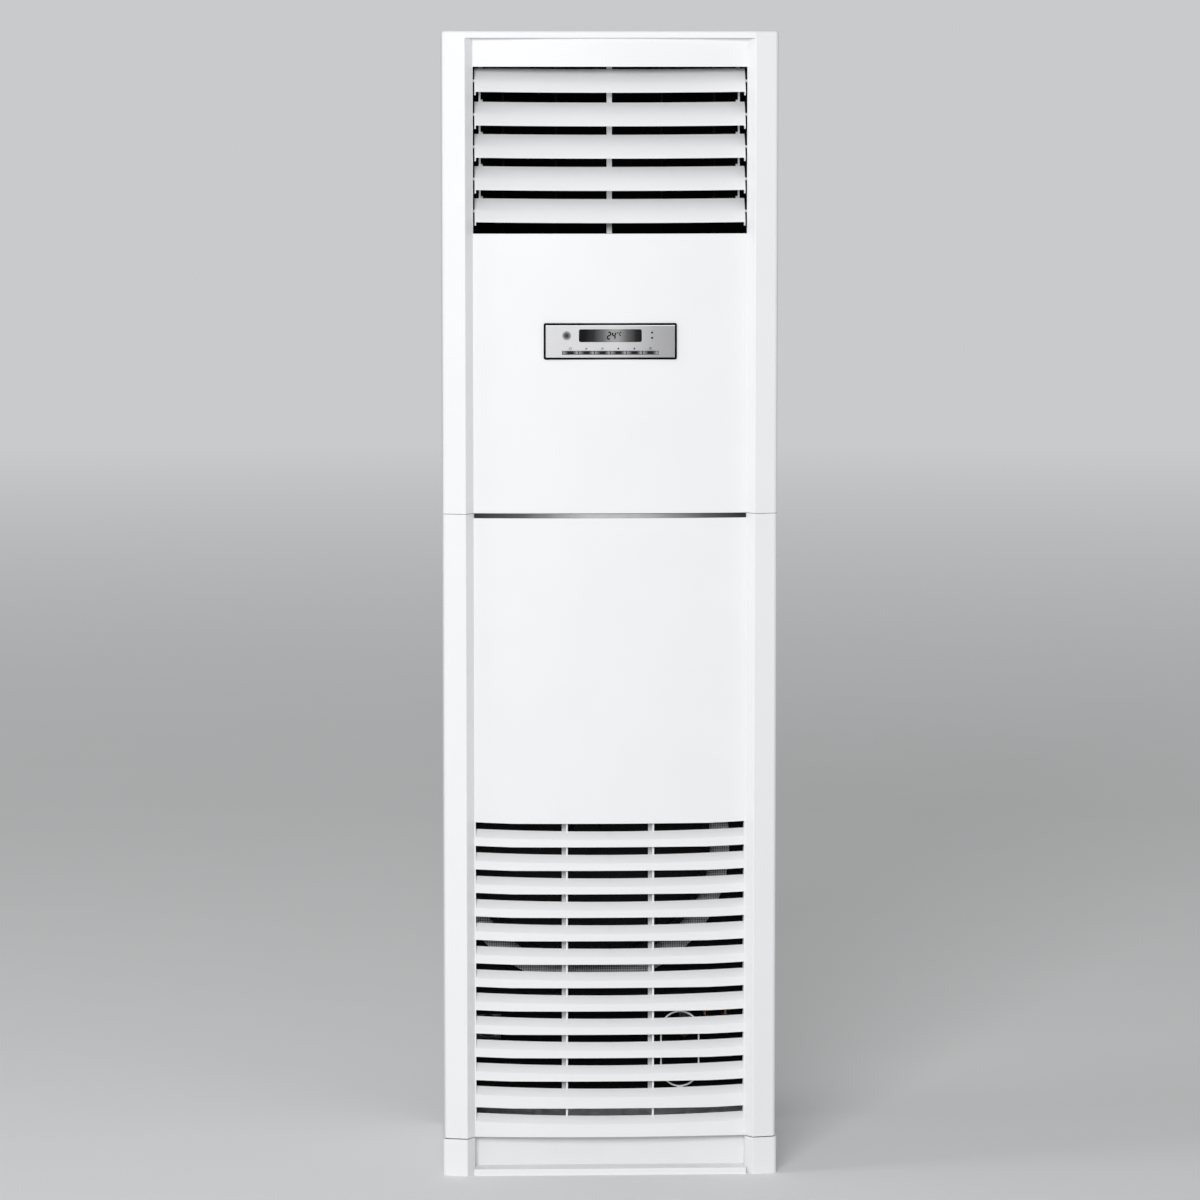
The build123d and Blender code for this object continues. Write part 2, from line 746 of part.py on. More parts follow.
with BuildPart() as outlet_duct:
    for z in (duct_floor - duct_wall, duct_top):
        with BuildSketch(Plane.XY.offset(z)):
            add(behind_panel(wall + seat_gap, duct_rear_y))
        extrude(amount=duct_wall)
    with BuildSketch(Plane.XY.offset(duct_floor - duct_wall)):
        for side in (-1, 1):
            with Locations((side * (half_panel + duct_wall / 2), duct_middle_y)):
                Rectangle(duct_wall, duct_length)
            with Locations((side * (half_panel + inner_half) / 2, duct_ear_y + duct_wall / 2)):
                Rectangle(inner_half - half_panel, duct_wall)
    extrude(amount=duct_top - duct_floor + 2 * duct_wall)
    with BuildSketch(Plane.YZ.offset(-half_cabinet)):
        for z in blade_heights:
            with Locations((blade_axis_y, z)):
                Circle(pivot_radius + pivot_clearance)
    extrude(amount=cabinet_width, mode=Mode.SUBTRACT)
    with BuildSketch(Plane.XY.offset(duct_floor - duct_wall)):
        for x in vane_places:
            with Locations((x, vane_axis_y)):
                Circle(vane_journal_radius + pivot_clearance)
    extrude(amount=duct_top - duct_floor + 2 * duct_wall, mode=Mode.SUBTRACT)
save(outlet_duct, "outlet_duct")

# ---------------------------------------------------------------- outlet blades

tilt = radians(blade_tilt)
chord_up = (0, sin(tilt), cos(tilt))
blade_half = half_panel - blade_end_gap
sweep_sag = 2.0
sweep_radius = blade_half ** 2 / (2 * sweep_sag)
half_chord = blade_chord / 2
end_flange = 2.0
arm_thickness = 3.0
arm_inner_x = tie_bar_x - tie_bar_thickness / 2 - seat_gap - arm_thickness
pin_y = blade_axis_y + link_arm_reach * sin(tilt) + link_arm_setback * cos(tilt)
pin_rise = link_arm_reach * cos(tilt) - link_arm_setback * sin(tilt)


def blade_plane(x, z):
    """Cross-section plane of a blade at rest: local x up the chord, local y out of its face."""
    return Plane(origin=(x, blade_axis_y, z), x_dir=chord_up, z_dir=(1, 0, 0))


def blade_turn_axis(z):
    """The far axis about which the blade's section sweeps, so that its edges sag evenly."""
    reach = sweep_radius
    point = (0, blade_axis_y + reach * sin(tilt), z + reach * cos(tilt))
    return Axis(point, (0, -cos(tilt), sin(tilt)))


for i, z in enumerate(blade_heights):
    half_turn = degrees(asin(half_panel / sweep_radius))
    with BuildPart() as louver:
        with BuildSketch(blade_plane(0, z)):
            with BuildLine():
                ThreePointArc((-half_chord, 0), (0, blade_thickness), (half_chord, 0))
                Polyline((half_chord, 0), (half_chord - blade_thickness / 2, -blade_thickness / 2))
                ThreePointArc((half_chord - blade_thickness / 2, -blade_thickness / 2),
                              (0, blade_hollow / 4),
                              (blade_thickness / 2 - half_chord, -blade_thickness / 2))
                Line((blade_thickness / 2 - half_chord, -blade_thickness / 2), (-half_chord, 0))
            make_face()
        revolve(axis=blade_turn_axis(z), revolution_arc=half_turn)
        mirror(about=Plane.YZ)
        with Locations((0, blade_axis_y, z)):
            Box(2 * blade_half, depth, blade_chord * 2, mode=Mode.INTERSECT)
        for side in (-1, 1):
            inner_x = side * (blade_half - end_flange)
            with BuildSketch(blade_plane(inner_x, z)):
                with BuildLine():
                    Polyline((half_chord - wall, 0), (half_chord - 2 * wall, -2 * wall),
                             (-half_chord + wall, -3 * wall), (-half_chord, -2 * wall),
                             (-half_chord + blade_thickness / 2, 0), (half_chord - wall, 0))
                make_face()
            extrude(amount=side * end_flange)
            with BuildSketch(blade_plane(inner_x, z)):
                Circle(2 * pivot_radius)
            extrude(amount=side * end_flange)
            with BuildSketch(blade_plane(inner_x, z)):
                Circle(pivot_radius)
            extrude(amount=side * (end_flange + blade_end_gap + duct_wall))
            with BuildSketch(blade_plane(side * arm_inner_x, z)):
                with BuildLine():
                    Polyline((half_chord - wall, 0), (link_arm_reach, -link_arm_setback + wall),
                             (link_arm_reach, -link_arm_setback - wall),
                             (half_chord - 4 * wall, 0), (half_chord - wall, 0))
                make_face()
                with Locations((link_arm_reach, -link_arm_setback)):
                    Circle(wall)
            extrude(amount=side * arm_thickness)
            with BuildSketch(blade_plane(side * arm_inner_x, z)):
                with Locations((link_arm_reach, -link_arm_setback)):
                    Circle(pin_radius)
            extrude(amount=side * (arm_thickness + seat_gap + tie_bar_thickness))
    save(louver, f"louver_{i + 1}")

bar_overrun = 4.0
with BuildPart() as tie_bars:
    for side in (-1, 1):
        with BuildSketch(Plane.YZ.offset(side * tie_bar_x - tie_bar_thickness / 2)):
            bar_middle = (blade_heights[0] + blade_heights[-1]) / 2 + pin_rise
            bar_length = blade_heights[0] - blade_heights[-1] + 2 * bar_overrun
            with Locations((pin_y, bar_middle)):
                RectangleRounded(tie_bar_width, bar_length, tie_bar_width / 2 - pivot_clearance)
            for z in blade_heights:
                with Locations((pin_y, z + pin_rise)):
                    Circle(pin_radius + pivot_clearance, mode=Mode.SUBTRACT)
        extrude(amount=tie_bar_thickness)
save(tie_bars, "tie_bars")


# ---------------------------------------------------------------- upright vanes

vane_bottom = duct_floor + vane_foot_room
vane_top = duct_top - 2 * wall
vane_link_y = vane_axis_y + vane_link_reach
motor_bore_depth = 10.0

for i, x in enumerate(vane_places):
    with BuildPart() as vane:
        with BuildSketch(Plane.XY.offset(vane_bottom)):
            with Locations((x, vane_axis_y)):
                Rectangle(vane_thickness, vane_chord)
                Circle(vane_journal_radius)
        extrude(amount=vane_top - vane_bottom)
        with BuildSketch(Plane.XY.offset(vane_top)):
            with Locations((x, vane_axis_y)):
                Circle(vane_journal_radius)
        extrude(amount=duct_top - vane_top + duct_wall)
        with BuildSketch(Plane.XY.offset(vane_bottom)):
            with Locations((x, vane_axis_y)):
                Circle(vane_journal_radius)
        extrude(amount=-(vane_foot_room + duct_wall))
        with BuildSketch(Plane.XY.offset(vane_bottom)):
            with Locations((x, vane_link_y)):
                Circle(pin_radius)
        extrude(amount=link_z - vane_bottom)
    save(vane, f"vane_{i + 1}")

with BuildPart() as vane_link:
    with BuildSketch(Plane.XY.offset(link_z)):
        with Locations((0, vane_link_y)):
            RectangleRounded(vane_places[-1] - vane_places[0] + 2 * vane_link_width,
                             vane_link_width, vane_link_width / 2 - pivot_clearance)
        for x in vane_places:
            with Locations((x, vane_link_y)):
                Circle(pin_radius + pivot_clearance, mode=Mode.SUBTRACT)
    extrude(amount=vane_link_thickness)
save(vane_link, "vane_link")

swing_body_radius = 14.0
swing_body_height = 19.0
swing_ear_radius = 4.0
swing_vane = vane_places[vane_count // 2]
with BuildPart() as swing_motor:
    with BuildSketch(Plane.XY.offset(duct_floor - duct_wall)):
        with Locations((swing_vane, vane_axis_y)):
            SlotCenterToCenter(2 * (swing_body_radius + swing_ear_radius), 2 * swing_ear_radius)
            Circle(swing_body_radius)
    extrude(amount=-duct_wall)
    with BuildSketch(Plane.XY.offset(duct_floor - duct_wall)):
        with Locations((swing_vane, vane_axis_y)):
            Circle(swing_body_radius)
    extrude(amount=-swing_body_height)
    with BuildSketch(Plane.XY.offset(duct_floor - duct_wall)):
        with Locations((swing_vane, vane_axis_y)):
            Circle(vane_journal_radius + pivot_clearance)
    extrude(amount=-motor_bore_depth, mode=Mode.SUBTRACT)
save(swing_motor, "swing_motor")


# ---------------------------------------------------------------- blower

casing_depth = casing_rear_y - casing_front_y
casing_half = inner_half - scroll_side_gap
scroll_radius = casing_half + scroll_step / 2
bellmouth_radius = casing_half - abs(blower_x)
wheel_radius = bellmouth_radius - wheel_room
bellmouth_eye = wheel_radius - eye_lap
blower_z = deck_height - bellmouth_top_room - bellmouth_radius
scroll_middle = (-scroll_step / 2, blower_z + scroll_step / 2)
casing_bottom = scroll_middle[1] - scroll_radius


def scroll_plan(inset):
    """The scroll from the front: three quarter arcs that tighten towards the throat."""
    x0, z0 = scroll_middle
    radius = scroll_radius - inset
    step = scroll_step
    tops = deck_height + (4 * inset if inset else 0)
    root = cos(radians(45))
    first = (x0, z0)
    second = (x0, z0 - step)
    third = (x0 - step, z0 - step)
    top_z = third[1] + radius - 2 * step
    with BuildSketch(mode=Mode.PRIVATE) as plan:
        with BuildLine():
            ThreePointArc((first[0] + radius, first[1]),
                          (first[0] + radius * root, first[1] - radius * root),
                          (first[0], first[1] - radius))
            ThreePointArc((second[0], second[1] - radius + step),
                          (second[0] - (radius - step) * root, second[1] - (radius - step) * root),
                          (second[0] - radius + step, second[1]))
            ThreePointArc((third[0] - radius + 2 * step, third[1]),
                          (third[0] - (radius - 2 * step) * root,
                           third[1] + (radius - 2 * step) * root),
                          (third[0], top_z))
            Polyline((third[0], top_z), (throat_x + inset, top_z), (throat_x + inset, tops),
                     (first[0] + radius, tops), (first[0] + radius, first[1]))
        make_face()
    return plan.sketch


with BuildPart() as scroll_casing:
    with BuildSketch(Plane.XZ.offset(-casing_rear_y)):
        add(scroll_plan(0))
    extrude(amount=casing_depth)
    with BuildSketch(Plane.XZ.offset(casing_wall - casing_rear_y)):
        add(scroll_plan(casing_wall))
    extrude(amount=casing_depth - 2 * casing_wall, mode=Mode.SUBTRACT)
    with BuildSketch(Plane.XZ.offset(-casing_front_y)):
        with Locations((0, (casing_bottom + deck_height) / 2)):
            Rectangle(2 * casing_half, deck_height - casing_bottom)
    extrude(amount=-casing_wall)
    with BuildSketch(Plane.XZ.offset(-casing_front_y)):
        with Locations((blower_x, blower_z)):
            Circle(bellmouth_eye + bellmouth_flare)
    extrude(amount=-2 * casing_wall, mode=Mode.SUBTRACT)
    with BuildSketch(Plane.XZ.offset(-casing_rear_y)):
        with Locations((blower_x, blower_z)):
            Circle(2 * shaft_radius)
    extrude(amount=2 * casing_wall, mode=Mode.SUBTRACT)
save(scroll_casing, "scroll_casing")

with BuildPart() as bellmouth:
    with BuildSketch(Plane.YZ.offset(blower_x)):
        with BuildLine():
            Polyline((casing_front_y, blower_z + bellmouth_radius),
                     (casing_front_y - bellmouth_flare, blower_z + bellmouth_radius),
                     (casing_front_y - bellmouth_flare, blower_z + bellmouth_eye + bellmouth_flare))
            RadiusArc((casing_front_y - bellmouth_flare,
                       blower_z + bellmouth_eye + bellmouth_flare),
                      (casing_front_y, blower_z + bellmouth_eye), -bellmouth_flare)
            Polyline((casing_front_y, blower_z + bellmouth_eye),
                     (casing_front_y + wall, blower_z + bellmouth_eye),
                     (casing_front_y + wall, blower_z + bellmouth_eye + wall / 2))
            RadiusArc((casing_front_y + wall, blower_z + bellmouth_eye + wall / 2),
                      (casing_front_y - bellmouth_flare + wall,
                       blower_z + bellmouth_eye + bellmouth_flare + wall / 2),
                      bellmouth_flare)
            Polyline((casing_front_y - bellmouth_flare + wall,
                      blower_z + bellmouth_eye + bellmouth_flare + wall / 2),
                     (casing_front_y - bellmouth_flare + wall, blower_z + bellmouth_radius - wall),
                     (casing_front_y, blower_z + bellmouth_radius - wall),
                     (casing_front_y, blower_z + bellmouth_radius))
        make_face()
    revolve(axis=Axis((blower_x, 0, blower_z), (0, 1, 0)))
save(bellmouth, "bellmouth")

wheel_rear_y = wheel_front_y + wheel_depth
blade_room = 14.0
wheel_plate = 2.0
with BuildPart() as blower_wheel:
    with BuildSketch(Plane.XZ.offset(-wheel_rear_y)):
        with Locations((blower_x, blower_z)):
            Circle(wheel_radius)
    extrude(amount=wheel_plate)
    with BuildSketch(Plane.XZ.offset(-wheel_rear_y)):
        with Locations((blower_x, blower_z)):
            Circle(wheel_hub_radius)
    extrude(amount=wheel_depth / 2)
    with BuildSketch(Plane.XZ.offset(-wheel_front_y - wheel_plate)):
        with Locations((blower_x, blower_z)):
            Circle(wheel_radius)
            Circle(wheel_radius - blade_room, mode=Mode.SUBTRACT)
    extrude(amount=wheel_plate)
    with BuildSketch(Plane.XZ.offset(-wheel_rear_y)):
        with Locations((blower_x, blower_z)):
            with PolarLocations(wheel_radius - blade_room / 2, wheel_blades):
                Rectangle(blade_room, wheel_plate, rotation=30)
    extrude(amount=wheel_depth)
    with BuildSketch(Plane.XZ.offset(-wheel_rear_y)):
        with Locations((blower_x, blower_z)):
            Circle(shaft_radius)
    extrude(amount=wheel_depth, mode=Mode.SUBTRACT)
save(blower_wheel, "blower_wheel")

with BuildPart() as fan_motor:
    with BuildSketch(Plane.XZ.offset(-casing_rear_y)):
        with Locations((blower_x, blower_z)):
            Circle(motor_flange_radius)
            with PolarLocations(motor_flange_radius, 4, start_angle=45):
                Circle(3 * motor_flange)
            Circle(shaft_radius + bore_clearance, mode=Mode.SUBTRACT)
    extrude(amount=-motor_flange)
    with BuildSketch(Plane.XZ.offset(-casing_rear_y)):
        with Locations((blower_x, blower_z)):
            Circle(motor_radius)
            Circle(shaft_radius + bore_clearance, mode=Mode.SUBTRACT)
    extrude(amount=-motor_length)
    fillet(fan_motor.edges().group_by(Axis.Y)[-1].sort_by(SortBy.LENGTH)[-1], 2 * wall)
save(fan_motor, "fan_motor")

with BuildPart() as motor_shaft:
    with BuildSketch(Plane.XZ.offset(-(casing_rear_y + motor_length - wall))):
        with Locations((blower_x, blower_z)):
            Circle(shaft_radius)
    extrude(amount=motor_length - wall + casing_rear_y - wheel_rear_y + wheel_depth / 2 + wall)
save(motor_shaft, "motor_shaft")

with BuildPart() as blower_deck:
    with BuildSketch(Plane.XY.offset(deck_height)):
        with Locations((0, (box_front_y + inner_rear_y) / 2)):
            Rectangle(2 * inner_half, inner_rear_y - box_front_y)
        with Locations(((throat_x + casing_half) / 2, (casing_front_y + casing_rear_y) / 2)):
            Rectangle(casing_half - throat_x - 2 * casing_wall, casing_depth - 2 * casing_wall,
                      mode=Mode.SUBTRACT)
        with Locations((gas_pipe_x, pipe_run_y)):
            Circle(gas_pipe_radius + wall, mode=Mode.SUBTRACT)
        with Locations((liquid_pipe_x, pipe_run_y)):
            Circle(liquid_pipe_radius + wall, mode=Mode.SUBTRACT)
        with Locations((spigot_x, pipe_run_y)):
            Circle(spigot_radius + wall, mode=Mode.SUBTRACT)
    extrude(amount=sheet)
save(blower_deck, "blower_deck")


# ---------------------------------------------------------------- evaporator

coil_width = cabinet_width - 2 * coil_side_room
coil_end_x = coil_width / 2 + coil_end_sheet
coil_foot_z = deck_height + coil_foot_rise
coil_head_z = duct_floor - duct_wall - coil_top_room
lean = atan(coil_lean_run / (coil_head_z - coil_foot_z))
coil_up = (0, -sin(lean), cos(lean))
coil_corner = (coil_thickness / 2 + wall) * sin(lean)
coil_length = (coil_head_z - coil_foot_z - 2 * coil_corner) / cos(lean)
coil_z = (coil_head_z + coil_foot_z) / 2


def coil_plane(x):
    """Plane square to the coil's width: local x up the leaning coil, local y to its front."""
    return Plane(origin=(x, coil_y, coil_z), x_dir=coil_up, z_dir=(1, 0, 0))


coil_face = Plane(origin=(0, coil_y, coil_z), x_dir=(1, 0, 0),
                  z_dir=(0, -cos(lean), -sin(lean)))
groove_count = int(coil_width / fin_pitch) - 1
tube_pitch = coil_length / tube_rows
tube_places = [(i - (tube_rows - 1) / 2) * tube_pitch for i in range(tube_rows)]

with BuildPart() as evaporator_fins:
    with BuildSketch(coil_plane(-coil_width / 2)):
        Rectangle(coil_length, coil_thickness)
    extrude(amount=coil_width)
    for face in (-coil_thickness / 2, coil_thickness / 2 - fin_groove_depth):
        with BuildSketch(coil_face.offset(face)):
            with GridLocations(fin_pitch, 0, groove_count, 1):
                Rectangle(fin_groove, coil_length)
        extrude(amount=fin_groove_depth, mode=Mode.SUBTRACT)
save(evaporator_fins, "evaporator_fins")

with BuildPart() as coil_frame:
    for side in (-1, 1):
        with BuildSketch(coil_plane(side * coil_width / 2)):
            Rectangle(coil_length, coil_thickness + 2 * wall)
            with GridLocations(tube_pitch, coil_thickness / 2, tube_rows, 2):
                Circle(tube_radius + fit_gap, mode=Mode.SUBTRACT)
        extrude(amount=side * coil_end_sheet)
        with BuildSketch(coil_plane(side * coil_width / 2)):
            with Locations(((coil_length - coil_end_sheet) / 2, 0)):
                Rectangle(coil_end_sheet, coil_thickness + 2 * wall)
        extrude(amount=side * (inner_half - coil_width / 2))
save(coil_frame, "coil_frame")

with BuildPart() as evaporator_tubes:
    for side in (-1, 1):
        for place in tube_places:
            bend = Plane(origin=(side * coil_width / 2,
                                 coil_y + place * coil_up[1], coil_z + place * coil_up[2]),
                         x_dir=(0, -cos(lean), -sin(lean)), z_dir=(side, 0, 0))
            with BuildSketch(bend):
                with Locations((coil_thickness / 4, 0), (-coil_thickness / 4, 0)):
                    Circle(tube_radius)
            extrude(amount=coil_end_sheet)
            with BuildSketch(bend.offset(coil_end_sheet)):
                with Locations((coil_thickness / 4, 0)):
                    Circle(tube_radius)
            turn = Axis(bend.offset(coil_end_sheet).origin,
                        (0, -sin(lean) * side, cos(lean) * side))
            revolve(axis=turn, revolution_arc=180)
save(evaporator_tubes, "evaporator_tubes")

pan_bottom = coil_foot_z - seat_gap - drain_pan_wall
pan_half = (coil_end_x + coil_thickness / 4 + tube_radius + drain_pan_wall
            + 2 * seat_gap)
pan_tab_y = drain_pan_y - drain_pan_depth / 2 + drain_pan_tab / 2

with BuildPart() as drain_pan:
    with BuildSketch(Plane.XY.offset(pan_bottom)):
        with Locations((0, drain_pan_y)):
            RectangleRounded(2 * pan_half, drain_pan_depth, wall)
    extrude(amount=drain_pan_height)
    with BuildSketch(Plane.XY.offset(pan_bottom + drain_pan_wall)):
        with Locations((0, drain_pan_y)):
            RectangleRounded(2 * (pan_half - drain_pan_wall),
                             drain_pan_depth - 2 * drain_pan_wall, wall)
    extrude(amount=drain_pan_height, mode=Mode.SUBTRACT)
    with BuildSketch(Plane.XY.offset(pan_bottom)):
        for side in (-1, 1):
            with Locations((side * (pan_half + inner_half) / 2, pan_tab_y)):
                Rectangle(inner_half - pan_half, drain_pan_tab)
    extrude(amount=drain_pan_wall)
    with BuildSketch(Plane.XY.offset(pan_bottom)):
        with Locations((spigot_x, pipe_run_y)):
            Circle(spigot_bore)
    extrude(amount=drain_pan_wall, mode=Mode.SUBTRACT)
save(drain_pan, "drain_pan")


# ---------------------------------------------------------------- pipes and drain

def pipe_path(joint_z, side_x, jog_top, x):
    """From the coil's end sheet down its side, in under the pan, down and out at the rear."""
    with BuildLine(mode=Mode.PRIVATE) as path:
        FilletPolyline((coil_end_x, pipe_run_y, joint_z), (side_x, pipe_run_y, joint_z),
                       (side_x, pipe_run_y, jog_top), (x, pipe_run_y, jog_top - pipe_jog_height),
                       (x, pipe_run_y, pipe_z), (x, pipe_end_y, pipe_z),
                       radius=[pipe_side_radius, pipe_side_radius, pipe_side_radius,
                               pipe_bend_radius])
    return path.line


gas_side_x = inner_half - 2 * seat_gap - gas_pipe_radius
liquid_side_x = gas_side_x - gas_pipe_radius - pipe_side_gap - liquid_pipe_radius
gas_joint_z = coil_foot_z + gas_joint_rise
liquid_joint_z = coil_foot_z + liquid_joint_rise
gas_jog_top = coil_foot_z - gas_jog_drop
liquid_jog_top = coil_foot_z - liquid_jog_drop
pipe_side_radius = (liquid_side_x - coil_end_x) * 0.75
pipe_sizes = {
    "gas_pipe": (gas_joint_z, gas_side_x, gas_jog_top, gas_pipe_x, gas_pipe_radius),
    "liquid_pipe": (liquid_joint_z, liquid_side_x, liquid_jog_top, liquid_pipe_x,
                    liquid_pipe_radius)}
for name, (joint_z, side_x, jog_top, x, radius) in pipe_sizes.items():
    with BuildPart() as pipe:
        with BuildSketch(Plane.YZ.offset(coil_end_x)):
            with Locations((pipe_run_y, joint_z)):
                Circle(radius)
        sweep(path=pipe_path(joint_z, side_x, jog_top, x))
    save(pipe, name)

with BuildPart() as flare_nuts:
    for *_, x, radius in pipe_sizes.values():
        with BuildSketch(Plane.XY.offset(pipe_z + nut_rise)):
            with Locations((x, pipe_run_y)):
                RegularPolygon(radius + 2 * wall, 6)
                Circle(radius + bore_clearance, mode=Mode.SUBTRACT)
        extrude(amount=nut_length)
save(flare_nuts, "flare_nuts")

with BuildPart() as drain_hose:
    with BuildLine(mode=Mode.PRIVATE) as hose_route:
        FilletPolyline((spigot_x, pipe_run_y, pan_bottom), (spigot_x, pipe_run_y, pipe_z),
                       (spigot_x, pipe_end_y, pipe_z), radius=pipe_bend_radius)
    for radius, way in ((spigot_radius, Mode.ADD), (spigot_bore, Mode.SUBTRACT)):
        with BuildSketch(Plane.XY.offset(pan_bottom)):
            with Locations((spigot_x, pipe_run_y)):
                Circle(radius)
        sweep(path=hose_route.line, mode=way)
save(drain_hose, "drain_hose")

with BuildPart() as cable_grommet:
    with BuildSketch(Plane.XZ.offset(-rear_y)):
        with Locations((grommet_x, grommet_z)):
            Circle(grommet_radius - fit_gap)
    extrude(amount=sheet)
    for y, direction in ((rear_y, -1), (rear_y - sheet, 1)):
        with BuildSketch(Plane.XZ.offset(-y)):
            with Locations((grommet_x, grommet_z)):
                Circle(grommet_radius + wall)
        extrude(amount=direction * wall / 2)
    with BuildSketch(Plane.XZ.offset(-rear_y - wall)):
        with Locations((grommet_x, grommet_z)):
            Circle(grommet_bore)
    extrude(amount=3 * wall, mode=Mode.SUBTRACT)
save(cable_grommet, "cable_grommet")


# ---------------------------------------------------------------- electrical box

box_left = box_x - box_width / 2
box_right = box_x + box_width / 2
box_bottom = deck_height + box_rise
box_z = box_bottom + box_height / 2
box_leg = box_bottom - deck_height - sheet

with BuildPart() as electrical_box:
    with BuildSketch(Plane.XZ.offset(-box_rear_y)):
        with Locations((box_x, box_z)):
            Rectangle(box_width, box_height)
    extrude(amount=box_rear_y - box_front_y)
    with BuildSketch(Plane.XZ.offset(sheet - box_rear_y)):
        with Locations((box_x, box_z)):
            Rectangle(box_width - 2 * sheet, box_height - 2 * sheet)
    extrude(amount=box_rear_y - box_front_y, mode=Mode.SUBTRACT)
    with BuildSketch(Plane.XZ.offset(-box_rear_y)):
        for x in (box_left + box_leg_width / 2, box_right - box_leg_width / 2):
            with Locations((x, box_bottom - box_leg / 2)):
                Rectangle(box_leg_width, box_leg)
    extrude(amount=sheet)
save(electrical_box, "electrical_box")

with BuildPart() as electrical_cover:
    with BuildSketch(Plane.XZ.offset(-box_front_y)):
        with Locations((box_x, box_z)):
            RectangleRounded(box_width, box_height, sheet)
        with Locations((box_right - cable_hole_inset, box_bottom + cable_hole_inset)):
            Circle(grommet_bore, mode=Mode.SUBTRACT)
    extrude(amount=sheet)
save(electrical_cover, "electrical_cover")

board_back_y = box_rear_y - sheet - board_stand
board_x = box_x - board_shift
board_z = box_z + board_shift
with BuildPart() as control_board:
    with BuildSketch(Plane.XZ.offset(-board_back_y)):
        with Locations((board_x, board_z)):
            Rectangle(board_width, board_height)
    extrude(amount=board_thickness)
    with BuildSketch(Plane.XZ.offset(-box_rear_y + sheet)):
        with Locations((board_x, board_z)):
            with GridLocations(board_width - 2 * board_post_inset,
                               board_height - 2 * board_post_inset, 2, 2):
                Circle(board_post_radius)
    extrude(amount=board_stand)
    with BuildSketch(Plane.XZ.offset(-board_back_y + board_thickness)):
        with Locations((board_x - board_shift, board_z + board_shift)):
            Rectangle(transformer_width, transformer_height)
        with Locations((board_x + transformer_width, board_z - board_shift)):
            Rectangle(relay_width, relay_height)
        with Locations((board_x + transformer_width, board_z + board_shift)):
            Circle(capacitor_radius)
    extrude(amount=board_part_depth)
save(control_board, "control_board")

with BuildPart() as terminal_block:
    with BuildSketch(Plane.XZ.offset(-box_rear_y + sheet)):
        with Locations((box_right - terminal_inset, box_bottom + cable_hole_inset)):
            Rectangle(terminal_ways * terminal_pitch, terminal_height)
    extrude(amount=terminal_depth)
    with BuildSketch(Plane.XZ.offset(-box_rear_y + sheet + terminal_depth)):
        with Locations((box_right - terminal_inset, box_bottom + cable_hole_inset)):
            with GridLocations(terminal_pitch, 0, terminal_ways, 1):
                Circle(terminal_pitch / 3)
    extrude(amount=-terminal_depth / 2, mode=Mode.SUBTRACT)
save(terminal_block, "terminal_block")

with BuildPart() as wall_bracket:
    with BuildSketch(Plane.XZ.offset(-rear_y)):
        with Locations((0, height - bracket_drop)):
            Rectangle(bracket_hole_spacing + bracket_height, bracket_height)
            with GridLocations(bracket_hole_spacing, 0, 2, 1):
                Circle(bracket_hole_radius, mode=Mode.SUBTRACT)
    extrude(amount=-screw_head_height)
save(wall_bracket, "wall_bracket")


# ---------------------------------------------------------------- filter

filter_height = filter_top - filter_bottom
filter_z = (filter_top + filter_bottom) / 2
filter_bays = (-filter_half_width + filter_border, *[
    edge for x in filter_mullions
    for edge in (x - filter_mullion_width / 2, x + filter_mullion_width / 2)],
    filter_half_width - filter_border)
bays = list(zip(filter_bays[::2], filter_bays[1::2]))
bay_height = filter_height - 2 * filter_border
net_rear_y = filter_front_y + filter_thickness / 2

with BuildPart() as filter_frame:
    with BuildSketch(Plane.XZ.offset(-filter_front_y)):
        with Locations((0, filter_z)):
            RectangleRounded(2 * filter_half_width, filter_height, wall)
        for left, right in bays:
            with Locations(((left + right) / 2, filter_z)):
                Rectangle(right - left, bay_height, mode=Mode.SUBTRACT)
    extrude(amount=-filter_thickness)
    with BuildSketch(Plane.XZ.offset(-net_rear_y)):
        with Locations((0, filter_z)):
            Rectangle(2 * filter_half_width - filter_border, filter_height - filter_border)
    extrude(amount=net_thickness, mode=Mode.SUBTRACT)
save(filter_frame, "filter_frame")

with BuildPart() as filter_net:
    with BuildSketch(Plane.XZ.offset(-net_rear_y)):
        with Locations((0, filter_z)):
            Rectangle(2 * (filter_half_width - fit_gap) - filter_border,
                      filter_height - filter_border - 2 * fit_gap)
        for left, right in bays:
            column = (right - left) / net_columns
            row = bay_height / net_rows
            with Locations(((left + right) / 2, filter_z)):
                with GridLocations(column, row, net_columns, net_rows):
                    Rectangle(column - net_strand, row - net_strand, mode=Mode.SUBTRACT)
    extrude(amount=net_thickness)
save(filter_net, "filter_net")

with BuildPart() as filter_pull:
    with BuildSketch(Plane.XZ.offset(-filter_front_y)):
        with Locations((pull_x, pull_z)):
            SlotOverall(pull_height, pull_width, rotation=90)
            SlotOverall(pull_height - 2 * pull_wire, pull_width - 2 * pull_wire, rotation=90,
                        mode=Mode.SUBTRACT)
        pull_foot = pull_z - pull_height / 2 + pull_wire
        with Locations((pull_x, (pull_foot + filter_bottom + seat_gap) / 2)):
            Rectangle(filter_border, pull_foot - filter_bottom - seat_gap)
    extrude(amount=pull_wire)
save(filter_pull, "filter_pull")
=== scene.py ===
"""Floor standing air conditioner: finishes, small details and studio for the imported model.

Metres. X to the right, Y to the rear, Z up. The front faces -Y.
"""
import json
import math

import bmesh
import bpy
from mathutils import Matrix, Vector


